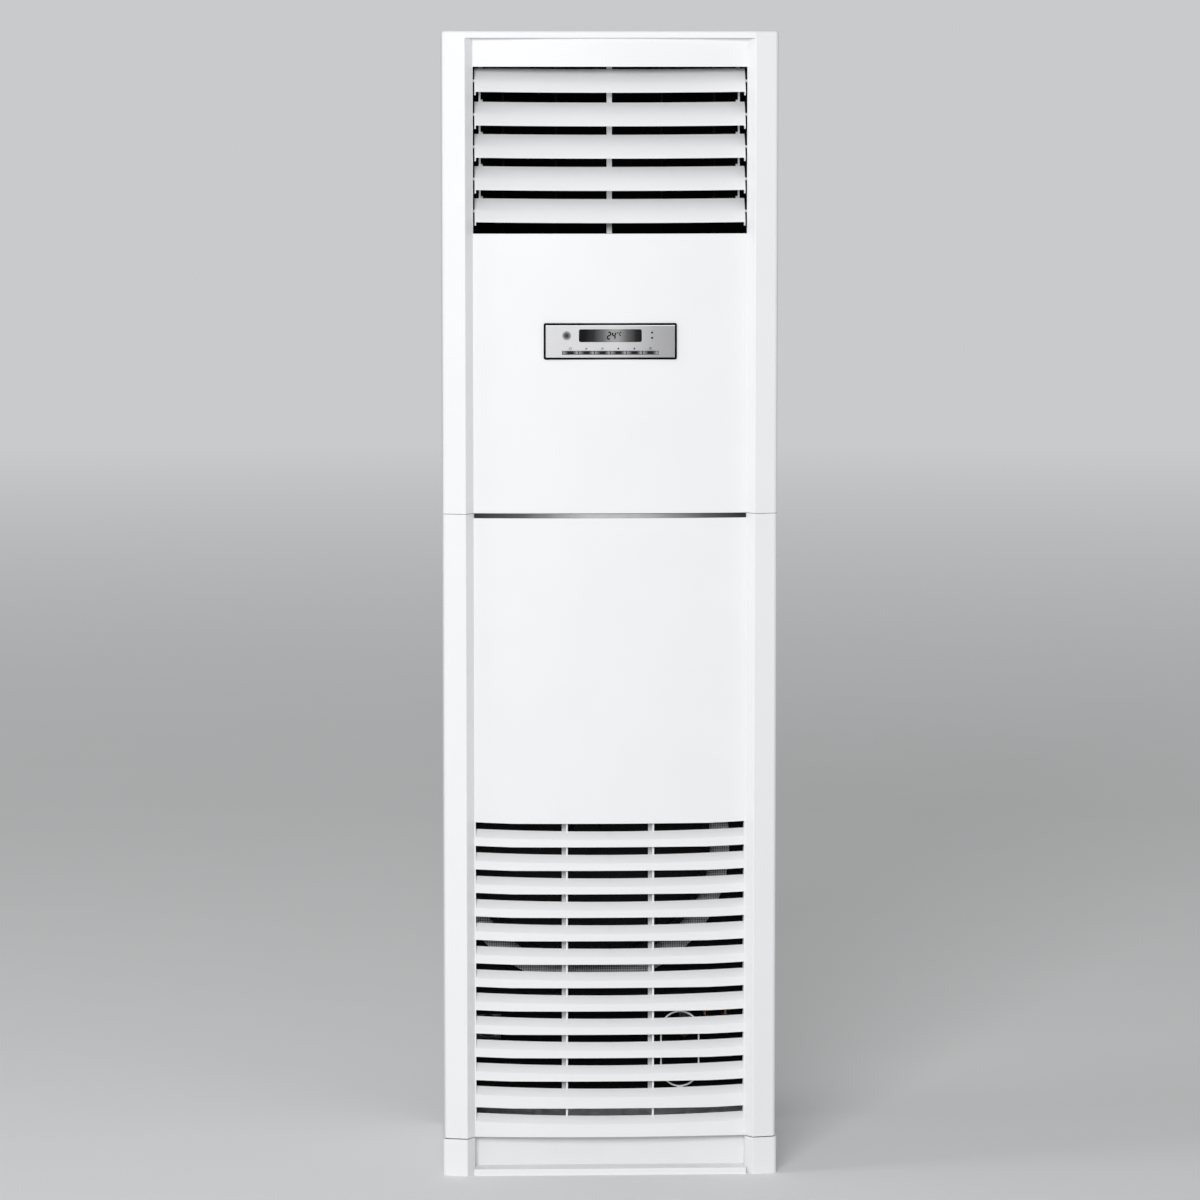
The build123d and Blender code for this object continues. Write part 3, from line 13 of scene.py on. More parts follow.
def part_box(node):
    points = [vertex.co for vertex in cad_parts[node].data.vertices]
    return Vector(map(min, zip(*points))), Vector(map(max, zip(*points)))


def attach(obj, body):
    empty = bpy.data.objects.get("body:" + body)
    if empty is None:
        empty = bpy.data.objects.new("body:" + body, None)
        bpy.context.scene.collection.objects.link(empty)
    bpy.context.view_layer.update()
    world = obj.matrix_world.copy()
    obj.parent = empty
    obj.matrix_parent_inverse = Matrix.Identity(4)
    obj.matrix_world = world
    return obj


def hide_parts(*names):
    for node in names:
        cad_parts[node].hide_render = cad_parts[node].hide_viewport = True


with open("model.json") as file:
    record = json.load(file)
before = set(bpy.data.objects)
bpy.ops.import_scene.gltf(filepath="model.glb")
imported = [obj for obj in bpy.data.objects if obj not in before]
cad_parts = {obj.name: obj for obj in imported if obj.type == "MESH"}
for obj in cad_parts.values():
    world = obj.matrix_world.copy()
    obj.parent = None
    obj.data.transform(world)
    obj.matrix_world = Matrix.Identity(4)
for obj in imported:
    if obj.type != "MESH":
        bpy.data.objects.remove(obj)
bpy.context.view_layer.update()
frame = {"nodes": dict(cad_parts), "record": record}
nodes = frame["nodes"]

MM = 0.001

# camera
EYE_LEFT = 0.30
EYE = (-EYE_LEFT, -8.155, 1.75)
PITCH_DOWN = math.radians(5.9)
FRONT_DISTANCE = 7.95
TURN_CORRECTION = 0.00208
TURN_RIGHT = math.atan2(EYE_LEFT, FRONT_DISTANCE) - TURN_CORRECTION
LENS = 151.3
SENSOR = 36.0

# studio
WORLD_LIGHT = 0.36
BACKDROP = (0.585, 0.59, 0.60)
FLOOR_WHITE = (0.86, 0.865, 0.875)
FLOOR_RADIUS = 40.0
FLOOR_FADE = (4.0, 16.0)
LAMP_AIM_HEIGHT = 0.95


# ---------------------------------------------------------------- shader helpers

def new_material(name):
    """An empty node material with its shader and output, and the tree to add nodes to."""
    material = bpy.data.materials.new(name)
    material.use_nodes = True
    tree = material.node_tree
    shader = tree.nodes["Principled BSDF"]
    return material, tree, shader


def object_point(tree):
    """The Object coordinates, in metres."""
    return tree.nodes.new("ShaderNodeTexCoord").outputs["Object"]


def speckle(tree, scale, detail=2.0):
    """A noise of that many cells per metre."""
    noise = tree.nodes.new("ShaderNodeTexNoise")
    noise.inputs["Scale"].default_value = scale
    noise.inputs["Detail"].default_value = detail
    tree.links.new(object_point(tree), noise.inputs["Vector"])
    return noise.outputs["Fac"]


def ramp(tree, source, stops):
    """Colours along a value, as (place, colour) stops."""
    node = tree.nodes.new("ShaderNodeValToRGB")
    band = node.color_ramp
    while len(band.elements) < len(stops):
        band.elements.new(0.5)
    for element, (place, colour) in zip(band.elements, stops):
        element.position = place
        element.color = (*colour, 1.0)
    tree.links.new(source, node.inputs["Fac"])
    return node.outputs["Color"]


def spread(tree, source, low, high):
    """A value moved from low..high to 0..1."""
    node = tree.nodes.new("ShaderNodeMapRange")
    node.inputs["From Min"].default_value = low
    node.inputs["From Max"].default_value = high
    tree.links.new(source, node.inputs["Value"])
    return node.outputs["Result"]


def axis_value(tree, axis):
    """One Object coordinate: 0 is x, 1 is y, 2 is z."""
    split = tree.nodes.new("ShaderNodeSeparateXYZ")
    tree.links.new(object_point(tree), split.inputs["Vector"])
    return split.outputs[axis]


def radial_value(tree, low, high):
    """0 on the axis of a round piece to 1 at its rim, on its front."""
    flat = tree.nodes.new("ShaderNodeVectorMath")
    flat.operation = "MULTIPLY"
    flat.inputs[1].default_value = (1.0, 0.0, 1.0)
    tree.links.new(object_point(tree), flat.inputs[0])
    away = tree.nodes.new("ShaderNodeVectorMath")
    away.operation = "DISTANCE"
    away.inputs[1].default_value = ((low.x + high.x) / 2, 0.0, (low.z + high.z) / 2)
    tree.links.new(flat.outputs["Vector"], away.inputs[0])
    return spread(tree, away.outputs["Value"], 0.0, (high.x - low.x) / 2)


def blend(tree, first, second, way):
    """Two colours mixed by a blend mode."""
    mix = tree.nodes.new("ShaderNodeMix")
    mix.data_type = "RGBA"
    mix.blend_type = way
    mix.inputs["Factor"].default_value = 1.0
    tree.links.new(first, mix.inputs["A"])
    tree.links.new(second, mix.inputs["B"])
    return mix.outputs["Result"]


def grey(level):
    """A neutral colour."""
    return (level, level, level * 1.01)


def bumps(tree, shader, height, depth):
    """Bump on the shader from a height between 0 and 1 and a depth in metres."""
    node = tree.nodes.new("ShaderNodeBump")
    node.inputs["Strength"].default_value = 1.0
    node.inputs["Distance"].default_value = depth
    tree.links.new(height, node.inputs["Height"])
    tree.links.new(node.outputs["Normal"], shader.inputs["Normal"])


def shade(colour, factor):
    """A colour made darker or lighter by a factor."""
    return tuple(min(1.0, part * factor) for part in colour)


def mottled(tree, shader, colour, spread_by, scale):
    """The base colour with a faint cloudy change of tone."""
    tone = ramp(tree, speckle(tree, scale), [
        (0.35, shade(colour, 1.0 - spread_by)), (0.65, shade(colour, 1.0 + spread_by))])
    tree.links.new(tone, shader.inputs["Base Color"])


def uneven_gloss(tree, shader, roughness, spread_by, scale):
    """Roughness that changes a little over the surface, as handled surfaces do."""
    node = tree.nodes.new("ShaderNodeMapRange")
    node.inputs["To Min"].default_value = roughness - spread_by
    node.inputs["To Max"].default_value = roughness + spread_by
    tree.links.new(speckle(tree, scale), node.inputs["Value"])
    tree.links.new(node.outputs["Result"], shader.inputs["Roughness"])


def moulded(name, colour, roughness, grain_scale=1600.0, grain_depth=0.000012, tone=0.012,
            specular=0.5):
    """Injection moulded plastic with a fine even grain."""
    material, tree, shader = new_material(name)
    mottled(tree, shader, colour, tone, 9.0)
    uneven_gloss(tree, shader, roughness, 0.04, 14.0)
    bumps(tree, shader, speckle(tree, grain_scale), grain_depth)
    shader.inputs["Specular IOR Level"].default_value = specular
    return material


def sheet_metal(name, colour, roughness, metallic, grain_scale=60.0, grain_depth=0.00001,
                tone=0.05):
    """Coated or bare sheet metal."""
    material, tree, shader = new_material(name)
    mottled(tree, shader, colour, tone, grain_scale)
    uneven_gloss(tree, shader, roughness, 0.06, grain_scale)
    bumps(tree, shader, speckle(tree, grain_scale * 8), grain_depth)
    shader.inputs["Metallic"].default_value = metallic
    return material


# ---------------------------------------------------------------- finishes

WHITE = (0.865, 0.872, 0.885)
TRIM_HALF = 0.212
BEZEL_HALF = 0.105
# height of the painted highlight along the fascia's top edge
FASCIA_TOP_HIGHLIGHT = 2.4 * MM


def white_plastic():
    """The satin white moulding of the front, blades, top and plinth."""
    return moulded("white_plastic", WHITE, 0.34, tone=0.006, specular=0.35)


def white_steel():
    """Powder coated steel of the two sides, with its fine orange peel."""
    material, tree, shader = new_material("white_steel")
    mottled(tree, shader, (0.85, 0.855, 0.865), 0.008, 6.0)
    uneven_gloss(tree, shader, 0.42, 0.03, 20.0)
    bumps(tree, shader, speckle(tree, 420.0), 0.00003)
    return material


def galvanised_steel():
    """Zinc coated sheet with its spangle."""
    material, tree, shader = new_material("galvanised_steel")
    spangle = tree.nodes.new("ShaderNodeTexVoronoi")
    spangle.inputs["Scale"].default_value = 95.0
    tree.links.new(object_point(tree), spangle.inputs["Vector"])
    tone = ramp(tree, spangle.outputs["Color"], [
        (0.2, (0.46, 0.47, 0.48)), (0.8, (0.58, 0.59, 0.6))])
    tree.links.new(tone, shader.inputs["Base Color"])
    uneven_gloss(tree, shader, 0.42, 0.08, 90.0)
    bumps(tree, shader, speckle(tree, 300.0), 0.00001)
    shader.inputs["Metallic"].default_value = 0.85
    return material


def black_plastic():
    """The dull black moulding inside the outlet."""
    return moulded("black_plastic", (0.006, 0.006, 0.007), 0.7, specular=0.08)


def dark_wheel_plastic():
    """Filled plastic of the blower wheel."""
    return moulded("wheel_plastic", (0.02, 0.02, 0.022), 0.55, specular=0.2)


def light_grey_plastic():
    """Pale moulding behind the grille."""
    return moulded("light_grey_plastic", (0.74, 0.745, 0.755), 0.5, tone=0.02)


def net_fibre():
    """Black nylon thread of the filter net."""
    return moulded("net_fibre", (0.008, 0.008, 0.009), 0.7, 3000.0, 0.00002, specular=0.1)


def pull_plastic():
    """Smooth white plastic of the filter's pull."""
    return moulded("pull_plastic", (0.82, 0.82, 0.82), 0.35)


def bright_trim():
    """Polished metal strip with a painted reflection: dark at its ends and brightest in the
    middle.
    """
    material, tree, shader = new_material("bright_trim")
    along = spread(tree, axis_value(tree, 0), -TRIM_HALF, TRIM_HALF)
    # painted reflection: the base colour runs from dark ends to a bright middle along the strip
    tone = ramp(tree, along, [(0.0, (0.07, 0.07, 0.072)), (0.18, (0.2, 0.2, 0.205)),
                              (0.42, (0.93, 0.93, 0.94)), (0.6, (0.93, 0.93, 0.94)),
                              (0.85, (0.24, 0.24, 0.245)), (1.0, (0.07, 0.07, 0.072))])
    tree.links.new(tone, shader.inputs["Base Color"])
    uneven_gloss(tree, shader, 0.14, 0.03, 60.0)
    bumps(tree, shader, speckle(tree, 250.0), 0.000004)
    shader.inputs["Metallic"].default_value = 1.0
    return material


def dark_chrome():
    """Dark plated rim of the display, with a painted reflection that makes it a little lighter
    in the middle.
    """
    material, tree, shader = new_material("dark_chrome")
    along = spread(tree, axis_value(tree, 0), -BEZEL_HALF, BEZEL_HALF)
    # painted reflection: the rim is lighter in its middle than at its ends
    tone = ramp(tree, along, [(0.0, grey(0.004)), (0.25, grey(0.006)), (0.5, grey(0.05)),
                              (0.75, grey(0.006)), (1.0, grey(0.004))])
    tree.links.new(tone, shader.inputs["Base Color"])
    uneven_gloss(tree, shader, 0.22, 0.03, 60.0)
    bumps(tree, shader, speckle(tree, 300.0), 0.000004)
    shader.inputs["Metallic"].default_value = 1.0
    return material


def silver_fascia():
    """Silver lacquer with a fine flake, with a painted reflection that makes it darker towards
    its right end and a painted highlight along its top edge.
    """
    low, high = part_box("display_fascia")
    material, tree, shader = new_material("silver_fascia")
    along = spread(tree, axis_value(tree, 0), low.x, high.x)
    # painted reflection: the silver gets darker towards the right end
    tone = ramp(tree, along, [(0.0, grey(0.62)), (0.55, grey(0.58)), (0.85, grey(0.37)),
                              (1.0, grey(0.33))])
    flake = ramp(tree, speckle(tree, 4000.0), [(0.3, grey(0.9)), (0.7, grey(0.99))])
    # painted highlight: a near white band along the top edge of the fascia
    edge = ramp(tree, spread(tree, axis_value(tree, 2), high.z - FASCIA_TOP_HIGHLIGHT, high.z),
                [(0.0, grey(0.0)), (0.45, grey(0.0)), (0.6, grey(0.9)), (1.0, grey(0.9))])
    tree.links.new(blend(tree, blend(tree, tone, flake, "MULTIPLY"), edge, "LIGHTEN"),
                   shader.inputs["Base Color"])
    uneven_gloss(tree, shader, 0.36, 0.03, 30.0)
    bumps(tree, shader, speckle(tree, 2600.0), 0.000004)
    shader.inputs["Metallic"].default_value = 0.45
    return material


def display_glass():
    """Window of the display with a painted reflection: a grey middle that falls off to black
    ends.
    """
    low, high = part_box("display_window")
    material, tree, shader = new_material("display_glass")
    along = spread(tree, axis_value(tree, 0), low.x, high.x)
    # painted reflection: grey in the middle of the window, black at its ends
    tone = ramp(tree, along, [(0.0, grey(0.004)), (0.1, grey(0.006)), (0.24, grey(0.03)),
                              (0.38, grey(0.13)), (0.52, grey(0.33)), (0.62, grey(0.33)),
                              (0.76, grey(0.12)), (0.9, grey(0.02)), (1.0, grey(0.004))])
    tree.links.new(tone, shader.inputs["Base Color"])
    uneven_gloss(tree, shader, 0.1, 0.02, 40.0)
    shader.inputs["Specular IOR Level"].default_value = 0.2
    shader.inputs["Coat Weight"].default_value = 0.15
    shader.inputs["Coat Roughness"].default_value = 0.04
    return material


def round_lens(name, node, stops):
    """A small lens that is darkest in its middle, with a painted sheen that lightens it towards
    its rim.
    """
    material, tree, shader = new_material(name)
    tone = ramp(tree, radial_value(tree, *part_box(node)), stops)
    tree.links.new(tone, shader.inputs["Base Color"])
    uneven_gloss(tree, shader, 0.2, 0.02, 200.0)
    shader.inputs["Specular IOR Level"].default_value = 0.2
    return material


def lamp_lens():
    """The indicator lamps, dark while they are off."""
    material, tree, shader = new_material("lamp_lens")
    mottled(tree, shader, grey(0.02), 0.1, 300.0)
    uneven_gloss(tree, shader, 0.2, 0.02, 200.0)
    shader.inputs["Specular IOR Level"].default_value = 0.2
    return material


def key_plastic():
    """Glossy keys: each dark in its middle, with painted highlights that make it light at its
    ends and along its edges.
    """
    low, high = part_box("power_button")
    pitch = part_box("mode_button")[0].x - low.x
    material, tree, shader = new_material("key_plastic")
    place = tree.nodes.new("ShaderNodeMath")
    place.operation = "FLOORED_MODULO"
    shift = tree.nodes.new("ShaderNodeMath")
    shift.operation = "SUBTRACT"
    shift.inputs[1].default_value = low.x
    tree.links.new(axis_value(tree, 0), shift.inputs[0])
    tree.links.new(shift.outputs["Value"], place.inputs[0])
    place.inputs[1].default_value = pitch
    along = spread(tree, place.outputs["Value"], 0.0, high.x - low.x)
    # painted highlights near both ends of each key
    middle = ramp(tree, along, [(0.0, grey(0.02)), (0.05, grey(0.3)), (0.2, grey(0.16)),
                                (0.36, grey(0.012)), (0.66, grey(0.012)), (0.82, grey(0.18)),
                                (0.95, grey(0.4)), (1.0, grey(0.02))])
    upward = spread(tree, axis_value(tree, 2), low.z, high.z)
    # painted highlights along the top and bottom edges of each key
    edges = ramp(tree, upward, [(0.0, grey(0.35)), (0.1, grey(0.3)), (0.22, grey(0.0)),
                                (0.8, grey(0.0)), (0.9, grey(0.25)), (1.0, grey(0.35))])
    tree.links.new(blend(tree, middle, edges, "LIGHTEN"), shader.inputs["Base Color"])
    uneven_gloss(tree, shader, 0.2, 0.03, 60.0)
    shader.inputs["Specular IOR Level"].default_value = 0.25
    return material


def circuit_board():
    """Green board lacquer with darker tracks under it."""
    material, tree, shader = new_material("circuit_board")
    tracks = tree.nodes.new("ShaderNodeTexBrick")
    tracks.inputs["Scale"].default_value = 120.0
    tracks.inputs["Color1"].default_value = (0.02, 0.16, 0.06, 1.0)
    tracks.inputs["Color2"].default_value = (0.025, 0.19, 0.07, 1.0)
    tracks.inputs["Mortar"].default_value = (0.012, 0.10, 0.04, 1.0)
    tree.links.new(object_point(tree), tracks.inputs["Vector"])
    tree.links.new(tracks.outputs["Color"], shader.inputs["Base Color"])
    uneven_gloss(tree, shader, 0.35, 0.05, 200.0)
    return material


def drawn_metal(name, colour, roughness):
    """Drawn or turned metal with a slight tarnish."""
    material, tree, shader = new_material(name)
    mottled(tree, shader, colour, 0.08, 60.0)
    uneven_gloss(tree, shader, roughness, 0.07, 80.0)
    bumps(tree, shader, speckle(tree, 900.0), 0.000008)
    shader.inputs["Metallic"].default_value = 1.0
    return material


def foam(name, colour):
    """Open cell foam."""
    material, tree, shader = new_material(name)
    mottled(tree, shader, colour, 0.2, 400.0)
    bumps(tree, shader, speckle(tree, 1200.0, 4.0), 0.0006)
    shader.inputs["Roughness"].default_value = 0.95
    shader.inputs["Specular IOR Level"].default_value = 0.05
    return material


FINISHES = {
    "white_plastic": white_plastic(),
    "white_steel": white_steel(),
    "galvanised_steel": galvanised_steel(),
    "black_plastic": black_plastic(),
    "wheel_plastic": dark_wheel_plastic(),
    "light_grey_plastic": light_grey_plastic(),
    "net_fibre": net_fibre(),
    "pull_plastic": pull_plastic(),
    "bright_trim": bright_trim(),
    "dark_chrome": dark_chrome(),
    "silver_fascia": silver_fascia(),
    "display_glass": display_glass(),
    # painted sheen: the receiver lens is dark in its middle and lightens towards its rim
    "infrared_lens": round_lens("infrared_lens", "receiver_lens", [
        (0.0, grey(0.04)), (0.4, grey(0.07)), (0.85, grey(0.3)), (1.0, grey(0.55))]),
    "lamp_lens": lamp_lens(),
    "key_plastic": key_plastic(),
    "circuit_board": circuit_board(),
    "terminal_plastic": moulded("terminal_plastic", (0.03, 0.03, 0.03), 0.5),
    "fin_aluminium": drawn_metal("fin_aluminium", (0.72, 0.73, 0.75), 0.38),
    "copper": drawn_metal("copper", (0.72, 0.36, 0.22), 0.30),
    "brass": drawn_metal("brass", (0.72, 0.55, 0.27), 0.32),
    "pan_plastic": moulded("pan_plastic", (0.72, 0.72, 0.70), 0.5),
    "hose_plastic": moulded("hose_plastic", (0.45, 0.46, 0.47), 0.5),
    "motor_paint": sheet_metal("motor_paint", (0.08, 0.085, 0.09), 0.4, 0.0),
    "zinc_steel": sheet_metal("zinc_steel", (0.55, 0.55, 0.55), 0.38, 1.0),
    "rubber": moulded("rubber", (0.02, 0.02, 0.02), 0.7, 900.0, 0.00004),
}


def finish_nodes():
    """Every CAD node gets the material of its slot in the record."""
    for subpart in frame["record"]["subparts"]:
        for slot in nodes[subpart["node"]].material_slots:
            slot.material = FINISHES[subpart["material_slot"]]


finish_nodes()


# ---------------------------------------------------------------- mesh helpers

def add_block(bm, low, high):
    """A block between two corners."""
    low, high = Vector(low), Vector(high)
    size = high - low
    place = Matrix.Translation((low + high) / 2) @ Matrix.Diagonal((*size, 1.0))
    return bmesh.ops.create_cube(bm, size=1.0, matrix=place)["verts"]


def add_bar(bm, start, end, width, front, thickness):
    """A flat bar on an upright face, from start to end, both (x, z)."""
    start, end = Vector(start), Vector(end)
    run = end - start
    middle = (start + end) / 2
    place = (Matrix.Translation((middle.x, front - thickness / 2, middle.y))
             @ Matrix.Rotation(-math.atan2(run.y, run.x), 4, "Y")
             @ Matrix.Diagonal((run.length, thickness, width, 1.0)))
    bmesh.ops.create_cube(bm, size=1.0, matrix=place)


def bevel_all(bm, width, segments=2):
    """Rounds every edge of the mesh."""
    bmesh.ops.bevel(bm, geom=bm.edges[:], offset=width, offset_type="OFFSET",
                    segments=segments, affect="EDGES", profile=0.5, material=-1,
                    clamp_overlap=True)


def new_piece(name, bm, finish, body, *replaced):
    """Makes the mesh a piece that rides on a body and takes its finish from a slot."""
    bmesh.ops.recalc_face_normals(bm, faces=bm.faces[:])
    mesh = bpy.data.meshes.new(name)
    bm.to_mesh(mesh)
    bm.free()
    piece = bpy.data.objects.new(name, mesh)
    bpy.context.scene.collection.objects.link(piece)
    mesh.materials.append(FINISHES.get(finish) or EXTRA_FINISHES[finish][0])
    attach(piece, body)
    if replaced:
        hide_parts(*replaced)
    return piece


# each extra finish, and the record's slot that it is closest to
EXTRA_FINISHES = {
    "black_foam": (foam("black_foam", (0.008, 0.008, 0.008)), "black_plastic"),
    "printed_ink": (moulded("printed_ink", (0.02, 0.02, 0.021), 0.5, specular=0.1),
                    "terminal_plastic"),
    "lcd_ink": (moulded("lcd_ink", (0.004, 0.004, 0.004), 0.5, specular=0.1), "display_glass"),
}


# ---------------------------------------------------------------- filter net

NET_PITCH = 3.6 * MM
THREAD = 0.55 * MM
THREAD_DEPTH = THREAD * 0.6


def filter_net():
    """Crossing threads in place of the plain net sheet."""
    low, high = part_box("filter_net")
    bm = bmesh.new()
    middle = (low.y + high.y) / 2
    across = int((high.x - low.x) / NET_PITCH)
    upward = int((high.z - low.z) / NET_PITCH)
    for i in range(across + 1):
        x = low.x + (high.x - low.x) * i / across
        x = min(max(x, low.x + THREAD / 2), high.x - THREAD / 2)
        add_block(bm, (x - THREAD / 2, middle - THREAD_DEPTH, low.z),
                  (x + THREAD / 2, middle, high.z))
    for i in range(upward + 1):
        z = low.z + (high.z - low.z) * i / upward
        z = min(max(z, low.z + THREAD / 2), high.z - THREAD / 2)
        add_block(bm, (low.x, middle, z - THREAD / 2),
                  (high.x, middle + THREAD_DEPTH, z + THREAD / 2))
    return new_piece("net_threads", bm, "net_fibre", "filter", "filter_net")


filter_net()


# ---------------------------------------------------------------- display

SEGMENTS = {"2": "abged", "4": "fgbc", "C": "afed"}
INK_DEPTH = 0.06 * MM
DIGIT_SLANT = 0.12
DIGIT_HEIGHT = 10.4 * MM
DIGIT_WIDTH = 4.4 * MM
DIGIT_STROKE = 2.1 * MM
DIGIT_PITCH = 7.4 * MM
READING_LEFT = -4.2 * MM
UNIT_HEIGHT = 4.8 * MM
UNIT_WIDTH = 2.8 * MM
UNIT_STROKE = 1.5 * MM
UNIT_SHIFT = 18.4 * MM
DEGREE_SHIFT = 3.2 * MM
DEGREE_DROP = 0.8 * MM
DEGREE_RADIUS = 1.1 * MM
DEGREE_STROKE = 0.8 * MM
SIGN_RISE = 6.6 * MM
SIGN_SIZE = 1.9 * MM
SIGN_STROKE = 0.6 * MM


def segment_ends(width, height):
    """Start and end of each segment of a digit, from its lower left corner."""
    half = height / 2
    return {"a": ((0, height), (width, height)), "b": ((width, half), (width, height)),
            "c": ((width, 0), (width, half)), "d": ((0, 0), (width, 0)),
            "e": ((0, 0), (0, half)), "f": ((0, half), (0, height)),
            "g": ((0, half), (width, half))}


def add_digit(bm, sign, corner, width, height, stroke, front):
    """One digit or letter made of straight bars that overlap where they meet."""
    ends = segment_ends(width, height)
    corner = Vector(corner)
    for segment in SEGMENTS[sign]:
        start, end = (corner + Vector(place) for place in ends[segment])
        trim = (end - start).normalized() * stroke * 0.2
        add_bar(bm, start + trim, end - trim, stroke, front, INK_DEPTH)


def add_ring(bm, centre, radius, stroke, front, steps=24, first=0.0, last=360.0):
    """A flat ring or part of one on an upright face, as short bars."""
    turn = math.radians(last - first) / steps
    for i in range(steps):
        angles = [math.radians(first) + turn * (i + k) for k in (-0.08, 1.08)]
        ends = [Vector(centre) + Vector((math.cos(a), math.sin(a))) * radius for a in angles]
        add_bar(bm, *ends, stroke, front, INK_DEPTH)


def display_reading():
    """The temperature shown in the window: 24 degrees."""
    low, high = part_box("display_window")
    front = low.y
    middle_z = (low.z + high.z) / 2
    bm = bmesh.new()
    for sign, x in (("2", READING_LEFT), ("4", READING_LEFT + DIGIT_PITCH)):
        add_digit(bm, sign, (x, middle_z - DIGIT_HEIGHT / 2), DIGIT_WIDTH, DIGIT_HEIGHT,
                  DIGIT_STROKE, front)
    unit_x = READING_LEFT + UNIT_SHIFT
    unit_z = middle_z + DIGIT_HEIGHT / 2 - UNIT_HEIGHT
    add_ring(bm, (unit_x - DEGREE_SHIFT, unit_z + UNIT_HEIGHT - DEGREE_DROP), DEGREE_RADIUS,
             DEGREE_STROKE, front, 12)
    add_digit(bm, "C", (unit_x, unit_z), UNIT_WIDTH, UNIT_HEIGHT, UNIT_STROKE, front)
    for vert in bm.verts:
        vert.co.x += (vert.co.z - middle_z) * DIGIT_SLANT
    return new_piece("display_reading", bm, "lcd_ink", "cabinet")


display_reading()


def add_triangle(bm, centre, size, way, front):
    """A flat triangle that points up (way 1) or down (way -1)."""
    made = bmesh.ops.create_circle(bm, cap_ends=True, radius=size, segments=3)
    place = (Matrix.Translation((centre[0], front, centre[1]))
             @ Matrix.Rotation(math.radians(90), 4, "X")
             @ Matrix.Rotation(math.radians(90 if way > 0 else -90), 4, "Z"))
    bmesh.ops.transform(bm, matrix=place, verts=made["verts"])
    faces = list({face for vert in made["verts"] for face in vert.link_faces})
    swept = bmesh.ops.extrude_face_region(bm, geom=faces)
    moved = [part for part in swept["geom"] if isinstance(part, bmesh.types.BMVert)]
    bmesh.ops.translate(bm, vec=(0, -INK_DEPTH, 0), verts=moved)


def key_signs():
    """A plain sign above each key: on, mode, fan, up, down and timer."""
    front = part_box("display_fascia")[0].y
    size, stroke = SIGN_SIZE, SIGN_STROKE
    bm = bmesh.new()
    places = {}
    for key in ("power", "mode", "fan_speed", "raise", "lower", "timer"):
        low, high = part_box(f"{key}_button")
        places[key] = Vector(((low.x + high.x) / 2, (low.z + high.z) / 2 + SIGN_RISE))
    add_ring(bm, places["power"], size, stroke, front, 20, 125.0, 415.0)
    add_bar(bm, places["power"] + Vector((0, 0.3 * size)),
            places["power"] + Vector((0, 1.25 * size)), stroke, front, INK_DEPTH)
    for turn in range(3):
        angle = math.radians(60 * turn)
        arm = Vector((math.cos(angle), math.sin(angle))) * size
        add_bar(bm, places["mode"] - arm, places["mode"] + arm, stroke, front, INK_DEPTH)
    for turn in range(3):
        angle = math.radians(120 * turn + 90)
        arm = Vector((math.cos(angle), math.sin(angle)))
        side = Vector((-arm.y, arm.x))
        add_bar(bm, places["fan_speed"] + arm * size * 0.25,
                places["fan_speed"] + arm * size * 1.1 + side * size * 0.35, 2 * stroke, front,
                INK_DEPTH)
    add_triangle(bm, places["raise"], size * 1.15, 1, front)
    add_triangle(bm, places["lower"], size * 1.15, -1, front)
    add_ring(bm, places["timer"], size, stroke, front, 20)
    for hand in ((0, 0.7 * size), (0.55 * size, 0)):
        add_bar(bm, places["timer"], places["timer"] + Vector(hand), stroke, front, INK_DEPTH)
    return new_piece("key_signs", bm, "printed_ink", "cabinet")


key_signs()


# ---------------------------------------------------------------- inside

SLEEVES = {"gas_pipe_end": 8 * MM, "liquid_pipe_end": 6 * MM}
FOAM_BOTTOM = 0.046
FOAM_REAR = 0.19
LOWER_FOAM_FRONT = -0.118
MIDDLE_FOAM = (-0.125, 0.06)
FOAM_EDGE = 0.8 * MM
SIDE_FACE = 263.6 * MM
SIDE_FOAM = 1.4 * MM
REAR_FOAM = 4 * MM
REAR_FOAM_HALF = 0.24


def pipe_ends():
    """Radius, x and z of each pipe end at the rear, from the record's mounts."""
    ends = {}
    for mount in frame["record"]["mounts"]:
        if mount["kind"] == "pin":
            x, _, z = mount["pos_m"]
            ends[mount["name"]] = (mount["dims"]["r_mm"] * MM, x, z)
    return ends


def lining(name, low, high):
    """A sheet of black sound foam glued inside the cabinet."""
    bm = bmesh.new()
    add_block(bm, low, high)
    bevel_all(bm, FOAM_EDGE)
    return new_piece(name, bm, "black_foam", "cabinet")


def add_tube(bm, centre, inner, outer, bottom, top, segments=28):
    """An upright tube with flat ends, around (x, y)."""
    profile = [(inner, bottom), (outer, bottom), (outer, top), (inner, top), (inner, bottom)]
    verts = [bm.verts.new((centre[0] + radius, centre[1], z)) for radius, z in profile[:-1]]
    edges = [bm.edges.new((verts[i], verts[(i + 1) % 4])) for i in range(4)]
    bmesh.ops.spin(bm, geom=verts + edges, cent=(*centre, 0.0), axis=(0.0, 0.0, 1.0),
                   angle=math.radians(360), steps=segments, use_merge=True)


def pipe_sleeves():
    """Black insulation on the upright runs of both pipes, between the nuts and the deck."""
    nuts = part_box("flare_nuts")
    middle_y = (nuts[0].y + nuts[1].y) / 2
    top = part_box("blower_deck")[0].z - 1 * MM
    for name, room in SLEEVES.items():
        bm = bmesh.new()
        radius, x, _ = pipe_ends()[name]
        add_tube(bm, (x, middle_y), radius + 0.3 * MM, radius + room, nuts[1].z + 3 * MM, top)
        new_piece(name.replace("end", "sleeve"), bm, "black_foam", "cabinet")


